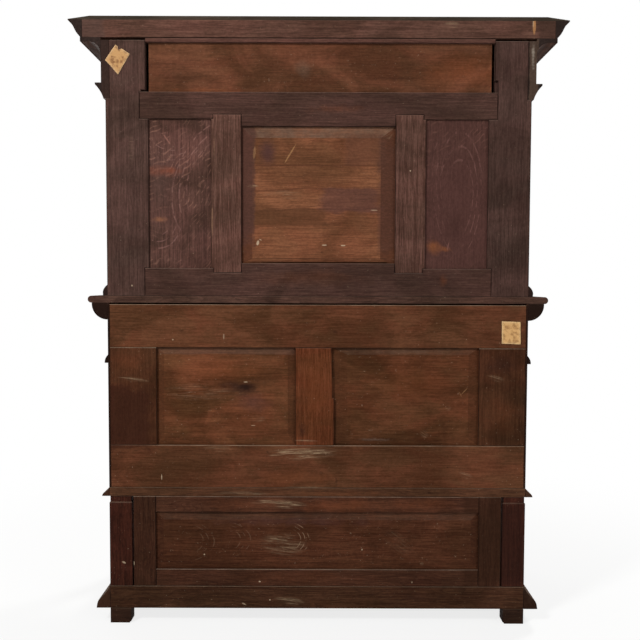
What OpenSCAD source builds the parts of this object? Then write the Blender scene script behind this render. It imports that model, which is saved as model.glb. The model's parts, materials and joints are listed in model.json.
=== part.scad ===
// Mirror-back sideboard of oak and pine, in millimetres.
// The front faces -Y and the back +Y; left and right are as seen from the front.
// From the floor up: feet, plinth with pot board, open stand, case with two drawers
// over two doors, top, mirror back between two columns, and canopy with its cornice.

/* [Overall] */
// Width of the stand, the case and the mirror back over their sides
body_w = 1394; // [1250:2:1700]
// Depth of the case from its front frame to its back
case_d = 500; // [460:1:580]
// Reach of the sideboard top beyond the case at the front and sides
top_reach = 65; // [58:1:80]
// Depth of the canopy from its frieze to the back
canopy_d = 330; // [270:1:400]

/* [Base and stand] */
// Height of the feet
foot_h = 51; // [35:1:80]
// Width of a rear foot
foot_w = 70; // [60:1:95]
// Depth of a rear foot
foot_d = 45; // [35:1:90]
// Radius of a rear foot's inner lower corner
foot_round = 5; // [3:1:20]
// Largest radius of a turned front foot
bun_r = 43; // [38:1:48]
// Height of the neck of a turned front foot
bun_neck_h = 6; // [4:1:12]
// Height of the plinth
plinth_h = 76; // [60:1:100]
// Reach of the plinth moulding
plinth_reach = 47; // [44:1:60]
// Thickness of the plinth rails and the pot board
board_t = 22; // [18:1:26]
// Clear height of the open bay, pot board to case
bay_h = 306; // [240:1:420]
// Side of the square posts and of the blocks of the turned legs
post_w = 76; // [66:1:90]
// Height of the reduced neck on top of posts and legs
neck_cap_h = 21; // [12:1:30]
// How far the neck stands in from the post's faces
neck_cap_in = 2.5; // [1:0.5:6]
// Height of the square blocks at the ends of a turned front leg
leg_block_h = 46; // [30:1:60]
// Gap between the stand's back frame and the rear posts
post_gap = 4; // [0.5:0.5:8]
// Width of the stiles of the stand's back frame
stand_stile_w = 75; // [50:1:100]
// Height of the top rail of the stand's back frame
stand_top_rail_h = 54; // [40:1:70]
// Height of the bottom rail of the stand's back frame
stand_bottom_rail_h = 58; // [40:1:70]

/* [Case] */
// Height of the case, under the sideboard top
case_h = 648; // [600:1:760]
// Height of the moulded base rails under the case
base_rail_h = 30; // [24:1:40]
// Depth of the base rails behind the case's faces
base_rail_w = 60; // [40:1:80]
// Reach of the moulding on the base rails
base_reach = 24; // [18:1:34]
// Thickness of the ends and the front frame
frame_t = 25; // [22:1:30]
// Height of the rail under the doors
sill_rail_h = 36; // [28:1:50]
// Height of the rail between drawers and doors, and of the string moulding
drawer_rail_h = 28; // [24:1:36]
// Reach of the string moulding
string_reach = 11; // [6:1:16]
// Height of the drawer openings
drawer_opening_h = 116; // [90:1:130]
// Height of the quarter-round moulding and the rail behind it
round_h = 56; // [48:1:64]
// Reach of the quarter-round moulding
round_reach = 52; // [40:1:56]
// Width of the upright between the drawers and between the doors
muntin_w = 60; // [40:1:80]
// Width of the stiles and rails of the case's ends
end_member_w = 78; // [60:1:90]
// Thickness of the case's back frame
back_t = 22; // [20:1:26]
// Width of the lip of the ends that covers the back frame's edge
back_lip = 5.5; // [3:0.5:8]
// Height of the top rail of the case's back
back_top_rail_h = 143; // [100:1:160]
// Height of the bottom rail of the case's back
back_bottom_rail_h = 143; // [100:1:160]
// Width of the stiles of the case's back
back_stile_w = 155; // [100:1:170]
// Width of the muntin of the case's back
back_muntin_w = 129; // [80:1:140]
// How far the back's muntin stands off the middle, to the right
back_muntin_off = 9.5; // [0:0.5:30]
// Width at the top of the sliver that has broken off that muntin's left edge
sliver_w = 9; // [2:1:12]
// Length of that sliver, from the top rail down
sliver_h = 168; // [60:2:220]
// Gap between the top of the case's back and the sideboard top
back_top_gap = 5; // [0.5:0.5:8]
// Thickness of the dust board under the drawers
dust_t = 14; // [10:1:18]
// Thickness of the case floor and the shelf
shelf_t = 15; // [12:1:20]
// Height of the shelf's upper face above the case floor
shelf_up = 205; // [150:1:260]
// How far the shelf stands back from the front frame
shelf_back = 35; // [20:1:80]
// Side of the bearers under shelf and dust board
bearer = 18; // [14:1:24]
// Height of the guides beside the drawers and of the kickers above them
guide_h = 25; // [16:1:30]
// How far the kickers reach over the drawers' sides
kicker_over = 30; // [16:1:50]

/* [Drawers] */
// Play beside a drawer in its opening
drawer_ease = 1.5; // [0.8:0.1:2.5]
// Play under a drawer
drawer_under = 0.4; // [0.2:0.1:0.8]
// Thickness of a drawer front
drawer_front_t = 22; // [20:1:26]
// Thickness of a drawer's sides and back
drawer_side_t = 12; // [10:1:15]
// Depth of a drawer over front and back
drawer_d = 430; // [380:1:440]
// Thickness of a drawer bottom
drawer_bottom_t = 8; // [6:1:10]
// Height of the drawer bottom above the lower edge of the sides
drawer_bottom_up = 12; // [8:1:20]
// Number of dovetails at a drawer's corner
tail_count = 3; // [2:1:4]
// Length of the lapped dovetails in a drawer front
tail_l = 15; // [10:1:17]
// Share of its pitch that a tail takes at its wide end
tail_share = 0.74; // [0.6:0.02:0.8]
// Distance of a drawer knob from the drawer's nearer end
knob_in = 130; // [80:1:200]
// Largest radius of a knob
knob_r = 19; // [14:1:24]
// How far a knob stands out
knob_l = 32; // [24:1:44]

/* [Doors] */
// Thickness of a door
door_t = 24; // [22:1:28]
// Gap at a door's hinged edge
hinge_gap = 3; // [2:0.5:4]
// Gap round the other edges of a door
door_gap = 2; // [1:0.5:3]
// Width of the stiles of a door
door_stile_w = 70; // [55:1:85]
// Height of the rails of a door
door_rail_h = 72; // [55:1:85]
// Length of a hinge
hinge_l = 64; // [50:1:80]
// Radius of a hinge knuckle
knuckle_r = 4.5; // [4:0.1:6]
// Radius of a hinge pin
hinge_pin_r = 2.5; // [2:0.1:3]
// Thickness of a hinge leaf
leaf_t = 2; // [1.5:0.1:2.5]
// Depth of a hinge leaf behind the door's face
leaf_d = 20; // [14:1:21]
// Distance of the hinges' middles from the door's ends
hinge_in = 75; // [55:1:100]

/* [Top and mirror back] */
// Thickness of the sideboard top
top_t = 23; // [20:1:28]
// Thickness of the mirror back's frame
mirror_frame_t = 25; // [24:1:32]
// Width of the mirror back's stiles
mirror_stile_w = 140; // [125:1:150]
// Height of the mirror back's bottom rail
mirror_bottom_rail_h = 92; // [70:1:110]
// Visible height of the oak side panels
oak_panel_h = 487; // [400:1:560]
// Visible width of the oak side panels
oak_panel_w = 204; // [150:1:240]
// Width of the two muntins beside the mirror
mirror_muntin_w = 100; // [80:1:120]
// Height of the mirror back's top rail
mirror_top_rail_h = 88; // [70:1:110]
// How far the top rail hangs lower over the mirror than over the side panels
rail_drop = 23; // [8:1:30]
// How far the bottom rail stands higher under the mirror than under the side panels
rail_rise = 17; // [8:1:30]
// How far the top rail laps onto the stiles
top_lap = 29; // [12:1:40]
// How far the bottom rail and the muntins lap onto their neighbours
lap = 15; // [10:1:20]
// How much narrower a muntin's lap is on its outer side
lap_step = 8; // [2:1:20]
// Thickness of the mirror glass
glass_t = 5; // [4:1:6]
// Width of the glass's bevel
glass_bevel = 20; // [12:1:28]
// How far the mirror moulding laps over the glass
glass_cover = 14; // [10:1:20]
// Height of the moulding at the foot of the mirror back
foot_moulding_h = 36; // [24:1:50]
// Reach of the moulding at the foot of the mirror back
foot_moulding_reach = 15; // [10:1:20]
// Largest radius of the turned columns
column_r = 35; // [30:1:37]
// Height of the square blocks at the ends of a column
column_block_h = 62; // [40:1:90]

/* [Canopy and cornice] */
// Height of the recessed back panel of the frieze
frieze_panel_h = 159; // [120:1:180]
// Depth of that panel behind the back's face
frieze_panel_recess = 9; // [6:1:11]
// Thickness of that panel
frieze_panel_t = 10; // [8:1:12]
// Height of the batten above the frieze's back panel
batten_h = 13; // [8:1:20]
// Gap between that batten and the cornice
batten_gap = 2; // [0.5:0.5:3]
// Gap at the sides of the frieze's back panel
frieze_panel_gap = 9; // [0.5:0.5:12]
// How much narrower the right stile is beside the frieze's back panel
stile_step = 9; // [4:1:14]
// How much more than that the left stile is narrowed there
stile_step_more = 10; // [1:1:14]
// Thickness of the frieze boards
frieze_t = 27; // [22:1:30]
// How far the frieze boards reach beyond the mirror back's sides
frieze_reach = 14; // [8:1:18]
// How far the frieze boards hang below the frieze's back panel
necking_drop = 23; // [12:1:40]
// Height of the necking moulding round the frieze's lower edge
necking_h = 52; // [40:1:60]
// Reach of the necking moulding beyond the frieze
necking_reach = 20; // [12:1:30]
// Depth of the rebate that the necking moulding is planted in
necking_rebate = 11; // [8:1:16]
// Thickness of the soffit board
soffit_t = 12; // [8:1:18]
// Reach and height of the hollow in the bed moulding
bed_cove = 39; // [30:1:45]
// Width of the cornice ground beyond the frieze
ground_reach = 60; // [52:1:75]
// Thickness of the cornice ground
ground_t = 20; // [16:1:24]
// Gap between the tops of the stiles and the cornice
cornice_gap = 8; // [4:1:14]
// Height of the cornice above that gap
cornice_h = 57; // [50:1:70]
// How far the crown moulding hangs below the cornice ground
crown_drop = 13; // [8:1:16]
// Reach of the crown moulding beyond the cornice ground
crown_reach = 46; // [36:1:60]
// Thickness of the top board
roof_t = 12; // [8:1:16]
// Width of the bevel round the top board
roof_bevel = 72; // [50:1:90]
// Thickness of the top board at its bevelled edge
roof_edge_t = 1.5; // [1:0.5:3]

/* [Joints] */
// Play of a tenon, tail or panel in its seat, on each side
fit = 0.1; // [0.05:0.05:0.2]
// Width of the glue line between members of one frame
glue_line = 0.2; // [0.1:0.05:0.4]
// Length of the tenons
tenon_l = 30; // [20:1:40]
// Depth of the grooves that hold panels
groove_d = 8; // [6:1:10]
// How far a panel's edge enters its groove
panel_in = 7; // [5:0.5:9]

/* [Hidden] */

oak = "#4a3630";
dark_oak = "#3a251f";
oak_front = "#5b3a2a";
pine = "#6b4530";
raw_pine = "#9a7650";
brass = "#9c7b3c";

// Faces of the carcase
hw = body_w / 2;
back_y = (case_d + top_reach) / 2;
front_y = back_y - case_d;

// Levels, from the floor up
z_plinth = foot_h;
z_bay = z_plinth + plinth_h;
z_case = z_bay + bay_h;
z_floor = z_case + base_rail_h;
z_top = z_case + case_h;
z_shelf = z_top + top_t;
z_rail_low = z_shelf + mirror_bottom_rail_h;
z_rail_high = z_rail_low + oak_panel_h;
z_frieze = z_rail_high + mirror_top_rail_h;
z_batten = z_frieze + frieze_panel_h;
z_cornice = z_batten + batten_h + batten_gap;
z_stile_top = z_cornice - cornice_gap;
z_roof = z_cornice + cornice_h;

// Case openings
z_round = z_top - round_h;
z_drawer = z_round - drawer_opening_h;
z_door_top = z_drawer - drawer_rail_h;
z_door = z_floor + sill_rail_h;
inner_x = hw - post_w;
end_in = hw - frame_t;
inside_y = back_y - back_t;
frame_back_y = front_y + frame_t;
z_back_top = z_top - back_top_gap;

// Front feet
bun_swell = 12;
bun_neck_in = 8;

// Mirror back
frame_front_y = back_y - mirror_frame_t;
lap_y = back_y - mirror_frame_t / 2;
stile_x = hw - mirror_stile_w;
muntin_out_x = stile_x - oak_panel_w;
mirror_x = muntin_out_x - mirror_muntin_w;
z_mirror = z_rail_low + rail_rise;
z_mirror_top = z_rail_high - rail_drop;
board_edge_t = 6;
board_raise = 8;
board_recess = 1.5;
board_bevels = [48, 36, 15, 37];
board_front_y = back_y - board_recess - board_raise - board_edge_t;
oak_panel_t = 8;
oak_panel_recess = 6;
glass_front_y = board_front_y - 0.3 - glass_t;

// Canopy
frieze_x = hw + frieze_reach;
frieze_y = back_y - canopy_d;
z_necking = z_frieze - necking_drop;
crown_x = frieze_x + ground_reach;
crown_y = frieze_y - ground_reach;
frieze_open_x = [-stile_x - stile_step - stile_step_more, stile_x + stile_step];
// Notch in a stile above the end of the top rail: its width and height
notch_right = [14, 5];
notch_left = [10, 38];

// Drawers and doors
opening_w = inner_x - muntin_w / 2;
drawer_w = opening_w - 2 * drawer_ease;
drawer_x = (inner_x + muntin_w / 2) / 2;
drawer_front_h = drawer_opening_h - drawer_under - drawer_ease;
drawer_side_h = drawer_front_h - 2;
drawer_sides_y = front_y + drawer_front_t;
drawer_back_y = front_y + drawer_d;
drawer_side_x = [-drawer_w / 2, drawer_w / 2 - drawer_side_t];
z_drawer_low = z_drawer + drawer_under;
door_w = opening_w - hinge_gap - door_gap;
door_h = z_door_top - z_door - 2 * door_gap;
z_door_low = z_door + door_gap;
door_in_x = muntin_w / 2 + door_gap;
hinge_x = inner_x - hinge_gap / 2;
hinge_y = front_y - knuckle_r - 0.3;
leaf_off = 0.25;
finial_r = 3.6;
knuckle_gap = 0.3;
spigot_l = 15;
panel_edge_t = 6;
panel_raise = 4;
back_panel_raise = 5;
front_shoulder = 5;
back_shoulder = 20;
panel_bevel = 26;
cap_w = post_w - 2 * neck_cap_in;
reach_far = 3 * ground_reach;
smooth = 64;

// Solid between the given limits along X, Y and Z
module between(x, y, z) {
    translate([x[0], y[0], z[0]])
        cube([x[1] - x[0], y[1] - y[0], z[1] - z[0]]);
}

// The children and their mirror image on the other side
module both_sides() {
    children();
    mirror([1, 0, 0]) children();
}

// The children on the right, or their mirror image on the left
module on_side(side) {
    if (side == "right") children();
    else mirror([1, 0, 0]) children();
}

// Points of a circular arc after a, up to b; a positive rise bulges to the right of that way
function arc(a, b, rise, n = 8) =
    let (c = b - a, l = norm(c), r = (l * l / 4 + rise * rise) / (2 * abs(rise)),
         s = sign(rise), u = c / l, v = [u[1], -u[0]] * s,
         m = (a + b) / 2 - v * (r - abs(rise)), h = asin(l / 2 / r))
    [for (i = [1:n]) let (t = -h + 2 * h * i / n) m + v * r * cos(t) + u * r * sin(t)];

// Rise of a quarter circle over its chord, as a share of the radius
quarter_rise = 1 - sqrt(0.5);

// Runs a section round the front and both sides, mitred at the two front corners.
// The section's X is its reach beyond the faces x and y, its Y its height above z.
module round_three_sides(x, y, z, back = back_y) {
    far = x + reach_far;
    intersection() {
        translate([far, y, z]) rotate([90, 0, -90]) linear_extrude(2 * far) children();
        translate([0, 0, z - reach_far]) linear_extrude(3 * reach_far + case_h)
            polygon([[-far, y - reach_far], [far, y - reach_far], [0, y + x]]);
    }
    both_sides() intersection() {
        translate([x, back, z]) rotate([90, 0, 0]) linear_extrude(back - y + reach_far) children();
        translate([glue_line, 0, z - reach_far]) linear_extrude(3 * reach_far + case_h)
            polygon([[far, y - reach_far], [far, back], [x - reach_far / 2, back],
                     [x - reach_far / 2, y + reach_far / 2]]);
    }
}

// Board w by h with a tongue edge_t thick all round, and its +Y face raised to t within
// the bevels [left, right, low, high]. It stands on z = 0 with its plain face at y = 0.
module fielded(w, h, t, edge_t, bevels, tongue = panel_in) {
    intersection() {
        linear_extrude(h)
            polygon([[-w / 2, 0], [w / 2, 0], [w / 2, edge_t], [w / 2 - tongue, edge_t],
                     [w / 2 - tongue - bevels[1], t], [-w / 2 + tongue + bevels[0], t],
                     [-w / 2 + tongue, edge_t], [-w / 2, edge_t]]);
        translate([-w / 2, 0, 0]) rotate([90, 0, 90]) linear_extrude(w)
            polygon([[0, 0], [edge_t, 0], [edge_t, tongue], [t, tongue + bevels[2]],
                     [t, h - tongue - bevels[3]], [edge_t, h - tongue], [edge_t, h], [0, h]]);
    }
}

// Panel fielded on both faces, centred on y = 0
module raised_panel(w, h) {
    bevels = panel_bevel * [1, 1, 1, 1];
    half = panel_edge_t / 2;
    fielded(w, h, half + panel_raise, half, bevels);
    mirror([0, 1, 0]) fielded(w, h, half + panel_raise, half, bevels);
}

// Frame of two stiles and two tenoned rails, w by h, from y = 0 to t, standing on z = 0
module panel_frame(w, h, t, stile, low, high) {
    tenon_t = t / 3;
    shoulder = 8;
    rails = [[0, low], [h - high, h]];
    module seat(z, play) {
        between([w / 2 - stile - groove_d, w / 2 - stile + tenon_l + play],
                [t / 2 - tenon_t / 2 - play, t / 2 + tenon_t / 2 + play],
                [z[0] + shoulder - play, z[1] - shoulder + play]);
    }
    module panel_seat() {
        between([-w / 2 + stile - groove_d, w / 2 - stile + groove_d],
                [t / 2 - panel_edge_t / 2 - fit, t / 2 + panel_edge_t / 2 + fit],
                [low - groove_d, h - high + groove_d]);
    }
    both_sides() difference() {
        between([w / 2 - stile, w / 2], [0, t], [0, h]);
        panel_seat();
        for (z = rails) seat(z, fit);
    }
    for (z = rails) difference() {
        union() {
            between([-w / 2 + stile + glue_line, w / 2 - stile - glue_line], [0, t], z);
            both_sides() seat(z, 0);
        }
        difference() {
            panel_seat();
            both_sides() between([w / 2 - stile, w / 2], [0, t], [0, h]);
        }
    }
}

// Raised panel for that frame, in its grooves
module frame_panel(w, h, t, stile, low, high) {
    translate([0, t / 2, low - panel_in])
        raised_panel(w - 2 * stile + 2 * panel_in, h - low - high + 2 * panel_in);
}

// Eased sweep of a turning after radius r0 at z0, up to r1 at z1
function sweep(z0, r0, z1, r1, n = 8) =
    [for (i = [1:n]) let (t = i / n) [r0 + (r1 - r0) * (1 - cos(180 * t)) / 2, z0 + (z1 - z0) * t]];

// Rounded ring of a turning between z0 and z1 that swells from radius r by out
function bead(z0, z1, r, out, n = 6) =
    [for (i = [0:n]) let (t = i / n) [r + out * sin(180 * t), z0 + (z1 - z0) * t]];

// Turned length h with largest radius r: rings, a lidded cup and a tapered shaft
function cup_turning(h, r) = concat(
    [[0, 0]],
    bead(0, 0.05 * h, 0.8 * r, 0.2 * r),
    [[0.58 * r, 0.06 * h]],
    sweep(0.06 * h, 0.58 * r, 0.12 * h, 0.5 * r),
    sweep(0.12 * h, 0.5 * r, 0.34 * h, r),
    bead(0.35 * h, 0.40 * h, 0.86 * r, 0.14 * r),
    [[0.95 * r, 0.41 * h]],
    sweep(0.41 * h, 0.95 * r, 0.52 * h, 0.5 * r),
    bead(0.53 * h, 0.57 * h, 0.5 * r, 0.2 * r),
    [[0.45 * r, 0.58 * h]],
    sweep(0.58 * h, 0.45 * r, 0.89 * h, 0.6 * r),
    bead(0.90 * h, 0.94 * h, 0.62 * r, 0.2 * r),
    bead(0.95 * h, h, 0.8 * r, 0.2 * r),
    [[0, h]]);

// Turned member with square blocks, standing at x, y between z0 and z1
module turned_member(x, y, z0, z1, block_h, r) {
    for (z = [z0, z1 - block_h])
        between([x - post_w / 2, x + post_w / 2], [y - post_w / 2, y + post_w / 2], [z, z + block_h]);
    translate([x, y, z0 + block_h])
        rotate_extrude($fn = smooth) polygon(cup_turning(z1 - z0 - 2 * block_h, r));
}

module post_neck(x, y) {
    between([x - cap_w / 2, x + cap_w / 2], [y - cap_w / 2, y + cap_w / 2], [z_case - neck_cap_h, z_case]);
}

module feet() color(dark_oak) {
    both_sides() translate([hw - foot_w, back_y, 0]) rotate([90, 0, 0]) linear_extrude(foot_d)
        polygon(concat([[foot_w, 0], [foot_w, foot_h], [0, foot_h], [0, foot_round]],
                       arc([0, foot_round], [foot_round, 0], -quarter_rise * foot_round)));
    both_sides() translate([hw - post_w / 2, front_y + post_w / 2, 0])
        rotate_extrude($fn = smooth)
            polygon(concat([[0, 0]], bead(0, foot_h - bun_neck_h, bun_r - bun_swell, bun_swell, 10),
                           [[bun_r - bun_neck_in, foot_h - bun_neck_h], [bun_r - bun_neck_in, foot_h],
                            [0, foot_h]]));
}

module plinth_rails() color(oak) {
    round_three_sides(hw, front_y, z_plinth, inside_y - glue_line)
        translate([-board_t, 0]) square([board_t, plinth_h - board_t]);
    between([-hw, hw], [inside_y, back_y], [z_plinth, z_bay]);
}

module pot_board() color(oak_front)
    between([-hw, hw], [front_y, inside_y], [z_bay - board_t, z_bay]);

module plinth_moulding() color(dark_oak)
    round_three_sides(hw, front_y, z_plinth)
        polygon(concat([[0, 0], [plinth_reach, 0], [plinth_reach - 2, 12]],
                       arc([plinth_reach - 2, 12], [0.68 * plinth_reach, 36], 2.5),
                       arc([0.68 * plinth_reach, 36], [3, plinth_h - 4], -2),
                       [[3, plinth_h], [0, plinth_h]]));

module rear_posts() color(dark_oak) both_sides() {
    between([inner_x, hw], [back_y - post_w, back_y], [z_bay, z_case - neck_cap_h]);
    post_neck(hw - post_w / 2, back_y - post_w / 2);
}

module front_legs() color(oak_front) both_sides() {
    turned_member(hw - post_w / 2, front_y + post_w / 2, z_bay, z_case - neck_cap_h, leg_block_h,
                  post_w / 2);
    post_neck(hw - post_w / 2, front_y + post_w / 2);
}

module in_stand_back()
    translate([0, inside_y, z_bay]) children();
stand_back = [2 * (inner_x - post_gap), bay_h, back_t, stand_stile_w, stand_bottom_rail_h,
              stand_top_rail_h];

module stand_back_frame() color(oak) in_stand_back()
    panel_frame(stand_back[0], stand_back[1], stand_back[2], stand_back[3], stand_back[4], stand_back[5]);

module stand_back_panel() color(oak_front) in_stand_back()
    frame_panel(stand_back[0], stand_back[1], stand_back[2], stand_back[3], stand_back[4], stand_back[5]);

module case_base_rails() color(dark_oak) {
    round_three_sides(hw, front_y, z_case, back_y - base_rail_w - glue_line)
        translate([-base_rail_w, 0]) square([base_rail_w, base_rail_h]);
    round_three_sides(hw, front_y, z_case)
        polygon(concat([[0, 0], [base_reach, 0], [base_reach, 3]],
                       arc([base_reach, 3], [0.55 * base_reach, base_rail_h / 2], 1.6),
                       arc([0.55 * base_reach, base_rail_h / 2], [0, base_rail_h], -1)));
    between([-hw + glue_line, hw - glue_line], [back_y - base_rail_w, back_y], [z_case, z_floor]);
}

module case_floor() color(raw_pine)
    between([-end_in, end_in], [frame_back_y, inside_y], [z_floor, z_floor + shelf_t]);

end_frame = [back_y - frame_back_y, z_top - z_floor, frame_t, end_member_w, end_member_w, end_member_w];
module in_end()
    translate([hw, (frame_back_y + back_y) / 2, z_floor]) rotate([0, 0, 90]) children();

module case_end_frames() color(oak_front) both_sides() difference() {
    in_end() panel_frame(end_frame[0], end_frame[1], end_frame[2], end_frame[3], end_frame[4],
                         end_frame[5]);
    between([0, hw - back_lip], [inside_y, back_y + 1], [z_floor - 1, z_top + 1]);
}

module case_end_panels() color(oak_front) both_sides() in_end()
    frame_panel(end_frame[0], end_frame[1], end_frame[2], end_frame[3], end_frame[4], end_frame[5]);

// Rails of the front frame: lower and upper level of each
front_rails = [[z_floor, z_door], [z_door_top, z_drawer], [z_round, z_top]];
// Uprights between them
front_uprights = [[z_door, z_door_top], [z_drawer, z_round]];

module front_tenon(z, play)
    both_sides() between([inner_x - 1, inner_x + tenon_l + play],
                         [front_y + frame_t / 3 - play, front_y + frame_t * 2 / 3 + play],
                         [z[0] + front_shoulder - play, z[1] - front_shoulder + play]);

module case_front_frame() color(oak_front) {
    difference() {
        both_sides() between([inner_x, hw], [front_y, frame_back_y], [z_floor, z_top]);
        for (z = front_rails) front_tenon(z, fit);
        both_sides() hinge_pockets(inner_x, leaf_off + leaf_t + fit);
    }
    for (z = front_rails) {
        between([-inner_x + glue_line, inner_x - glue_line], [front_y, frame_back_y], z);
        front_tenon(z, 0);
    }
    for (z = front_uprights)
        between([-muntin_w / 2, muntin_w / 2], [front_y, frame_back_y], [z[0] + glue_line, z[1] - glue_line]);
}

// Limits of the case's back panels as seen, right one first
back_half = hw - back_lip - 0.5;
back_panel_x = [[back_muntin_off + back_muntin_w / 2, back_half - back_stile_w],
                [-back_half + back_stile_w, back_muntin_off - back_muntin_w / 2]];
back_panel_z = [z_floor + back_bottom_rail_h, z_back_top - back_top_rail_h];
back_panel_y = inside_y + 6;
back_muntin_x = [back_panel_x[1][1], back_panel_x[0][0]];
// Their bevels, of uneven widths: left, right, low, high
back_panel_bevels = [[26, 24, 40, 20], [34, 43, 27, 23]];

module back_panel_seats()
    for (x = back_panel_x)
        between([x[0] - groove_d, x[1] + groove_d],
                [back_panel_y - fit, back_panel_y + panel_edge_t + fit],
                [back_panel_z[0] - groove_d, back_panel_z[1] + groove_d]);

// Tenons of an upright of the case's back, which end in the rails above and below it
module back_tenons(x, play)
    for (z = [[back_panel_z[0] - tenon_l - play, back_panel_z[0] + 1],
              [back_panel_z[1] - 1, back_panel_z[1] + tenon_l + play]])
        between(x + (back_shoulder - play) * [1, -1],
                [back_y - back_t * 2 / 3 - play, back_y - back_t / 3 + play], z);

module case_back_frame() color(pine) {
    stiles = [[back_panel_x[0][1], back_half], [-back_half, back_panel_x[1][0]]];
    difference() {
        for (z = [[z_floor, back_panel_z[0]], [back_panel_z[1], z_back_top]])
            between([-back_half, back_half], [inside_y, back_y], z);
        back_panel_seats();
        for (x = stiles) back_tenons(x, fit);
        back_tenons(back_muntin_x, fit);
    }
    difference() {
        for (x = stiles) {
            between(x, [inside_y, back_y], back_panel_z + glue_line * [1, -1]);
            back_tenons(x, 0);
        }
        back_panel_seats();
    }
}

module case_back_muntin() color(pine) difference() {
    union() {
        between(back_muntin_x, [inside_y, back_y], back_panel_z);
        back_tenons(back_muntin_x, 0);
    }
    back_panel_seats();
    translate([back_muntin_x[0], back_y + 1, back_panel_z[1]])
        rotate([90, 0, 0]) linear_extrude(back_y + 1 - back_panel_y - panel_edge_t)
            polygon([[-1, 0], [-1, -sliver_h], [sliver_w / 2, -sliver_h], [sliver_w, 0]]);
}

module case_back_panels() color(pine)
    for (i = [0, 1]) let (x = back_panel_x[i], bevels = back_panel_bevels[i])
        translate([(x[0] + x[1]) / 2, back_panel_y, back_panel_z[0] - panel_in])
            fielded(x[1] - x[0] + 2 * panel_in, back_panel_z[1] - back_panel_z[0] + 2 * panel_in,
                    panel_edge_t + back_panel_raise, panel_edge_t, bevels);

module dust_board() color(raw_pine)
    between([-end_in, end_in], [frame_back_y, inside_y], [z_drawer - dust_t, z_drawer]);

// Guides beside the drawers and wider kickers above their sides
module drawer_guides() color(raw_pine)
    for (level = [[z_drawer, 0], [z_round, kicker_over]]) {
        y = [frame_back_y, inside_y];
        z = [level[0], level[0] + guide_h];
        between([-1, 1] * (muntin_w / 2 + level[1]), y, z);
        both_sides() between([inner_x - level[1], end_in], y, z);
    }

module cupboard_shelf() color(raw_pine)
    between([-end_in, end_in], [frame_back_y + shelf_back, inside_y],
            [z_floor + shelf_up, z_floor + shelf_up + shelf_t]);

module shelf_bearers() color(raw_pine) both_sides()
    for (z = [z_floor + shelf_up, z_drawer - dust_t])
        between([end_in - bearer, end_in], [frame_back_y + shelf_back, inside_y], [z - bearer, z]);

module string_moulding() color(dark_oak)
    round_three_sides(hw, front_y, z_door_top)
        polygon(concat([[0, 0], [string_reach, 0], [string_reach, 5]],
                       arc([string_reach, 5], [1, drawer_rail_h - 2], 2),
                       [[0, drawer_rail_h]]));

// Dovetails of a drawer's side at x, widening to the front from y = drawer_sides_y
module tails(x, play) {
    pitch = drawer_side_h / tail_count;
    wide = pitch * tail_share / 2 + play;
    narrow = wide - tail_l / 5;
    for (i = [0:tail_count - 1])
        translate([x - play, drawer_sides_y, pitch * (i + 0.5)]) rotate([90, 0, 90])
            linear_extrude(drawer_side_t + 2 * play)
                polygon([[1, -narrow], [1, narrow], [0, narrow], [-tail_l - play, wide],
                         [-tail_l - play, -wide], [0, -narrow]]);
}

module in_drawer(side)
    on_side(side) translate([drawer_x, 0, z_drawer_low]) children();

module drawer_bottom_seat(play)
    between([-drawer_w / 2 + drawer_side_t / 2 - play, drawer_w / 2 - drawer_side_t / 2 + play],
            [front_y + drawer_front_t - 6 - play, drawer_back_y + play],
            [drawer_bottom_up - play, drawer_bottom_up + drawer_bottom_t + play]);

module knob_hole(x, z)
    translate([x, front_y - 1, z]) rotate([-90, 0, 0])
        cylinder(r = knob_r / 3 + fit, h = spigot_l + 2, $fn = smooth);

module drawer_front(side) color(oak_front) in_drawer(side) difference() {
    between([-drawer_w / 2, drawer_w / 2], [front_y, drawer_sides_y], [0, drawer_front_h]);
    drawer_bottom_seat(fit);
    for (x = drawer_side_x) tails(x, fit);
    for (x = [-1, 1]) knob_hole(x * (drawer_w / 2 - knob_in), drawer_front_h / 2);
}

module drawer_box(side) color(raw_pine) in_drawer(side) difference() {
    union() {
        for (x = drawer_side_x) {
            between([x, x + drawer_side_t], [drawer_sides_y, drawer_back_y], [0, drawer_side_h]);
            tails(x, 0);
        }
        between([-drawer_w / 2 + drawer_side_t + glue_line, drawer_w / 2 - drawer_side_t - glue_line],
                [drawer_back_y - drawer_side_t, drawer_back_y],
                [drawer_bottom_up + drawer_bottom_t, drawer_side_h - 6]);
    }
    drawer_bottom_seat(fit);
}

module drawer_bottom(side) color(raw_pine) in_drawer(side) drawer_bottom_seat(0);

// Turned knob with its spigot, its face on y = front_y
module knob(x, z)
    translate([x, front_y, z]) rotate([90, 0, 0]) rotate_extrude($fn = smooth)
        polygon(concat([[0, -spigot_l], [knob_r / 3, -spigot_l], [knob_r / 3, 0]],
                       bead(0, 5, knob_r * 0.6, 2, 4),
                       [[knob_r * 0.42, 6]],
                       sweep(6, knob_r * 0.42, 0.4 * knob_l, knob_r * 0.5, 4),
                       arc([knob_r * 0.5, 0.4 * knob_l], [knob_r, 0.72 * knob_l], 1.5, 5),
                       arc([knob_r, 0.72 * knob_l], [0, knob_l], 3.5, 8)));

module drawer_knobs(side) color(dark_oak) in_drawer(side)
    for (x = [-1, 1]) knob(x * (drawer_w / 2 - knob_in), drawer_front_h / 2);

module in_door(side)
    on_side(side) translate([door_in_x + door_w / 2, front_y, z_door_low]) children();
hinge_z = [z_door_low + hinge_in, z_door_low + door_h - hinge_in];

// Pockets for the hinge leaves, from the member's edge at x to out beyond the hinge's axis
module hinge_pockets(x, out)
    for (z = hinge_z)
        between([min(x, hinge_x + out), max(x, hinge_x + out)],
                [front_y - 1, front_y + leaf_d + fit],
                [z - hinge_l / 2 - fit, z + hinge_l / 2 + fit]);

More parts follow.
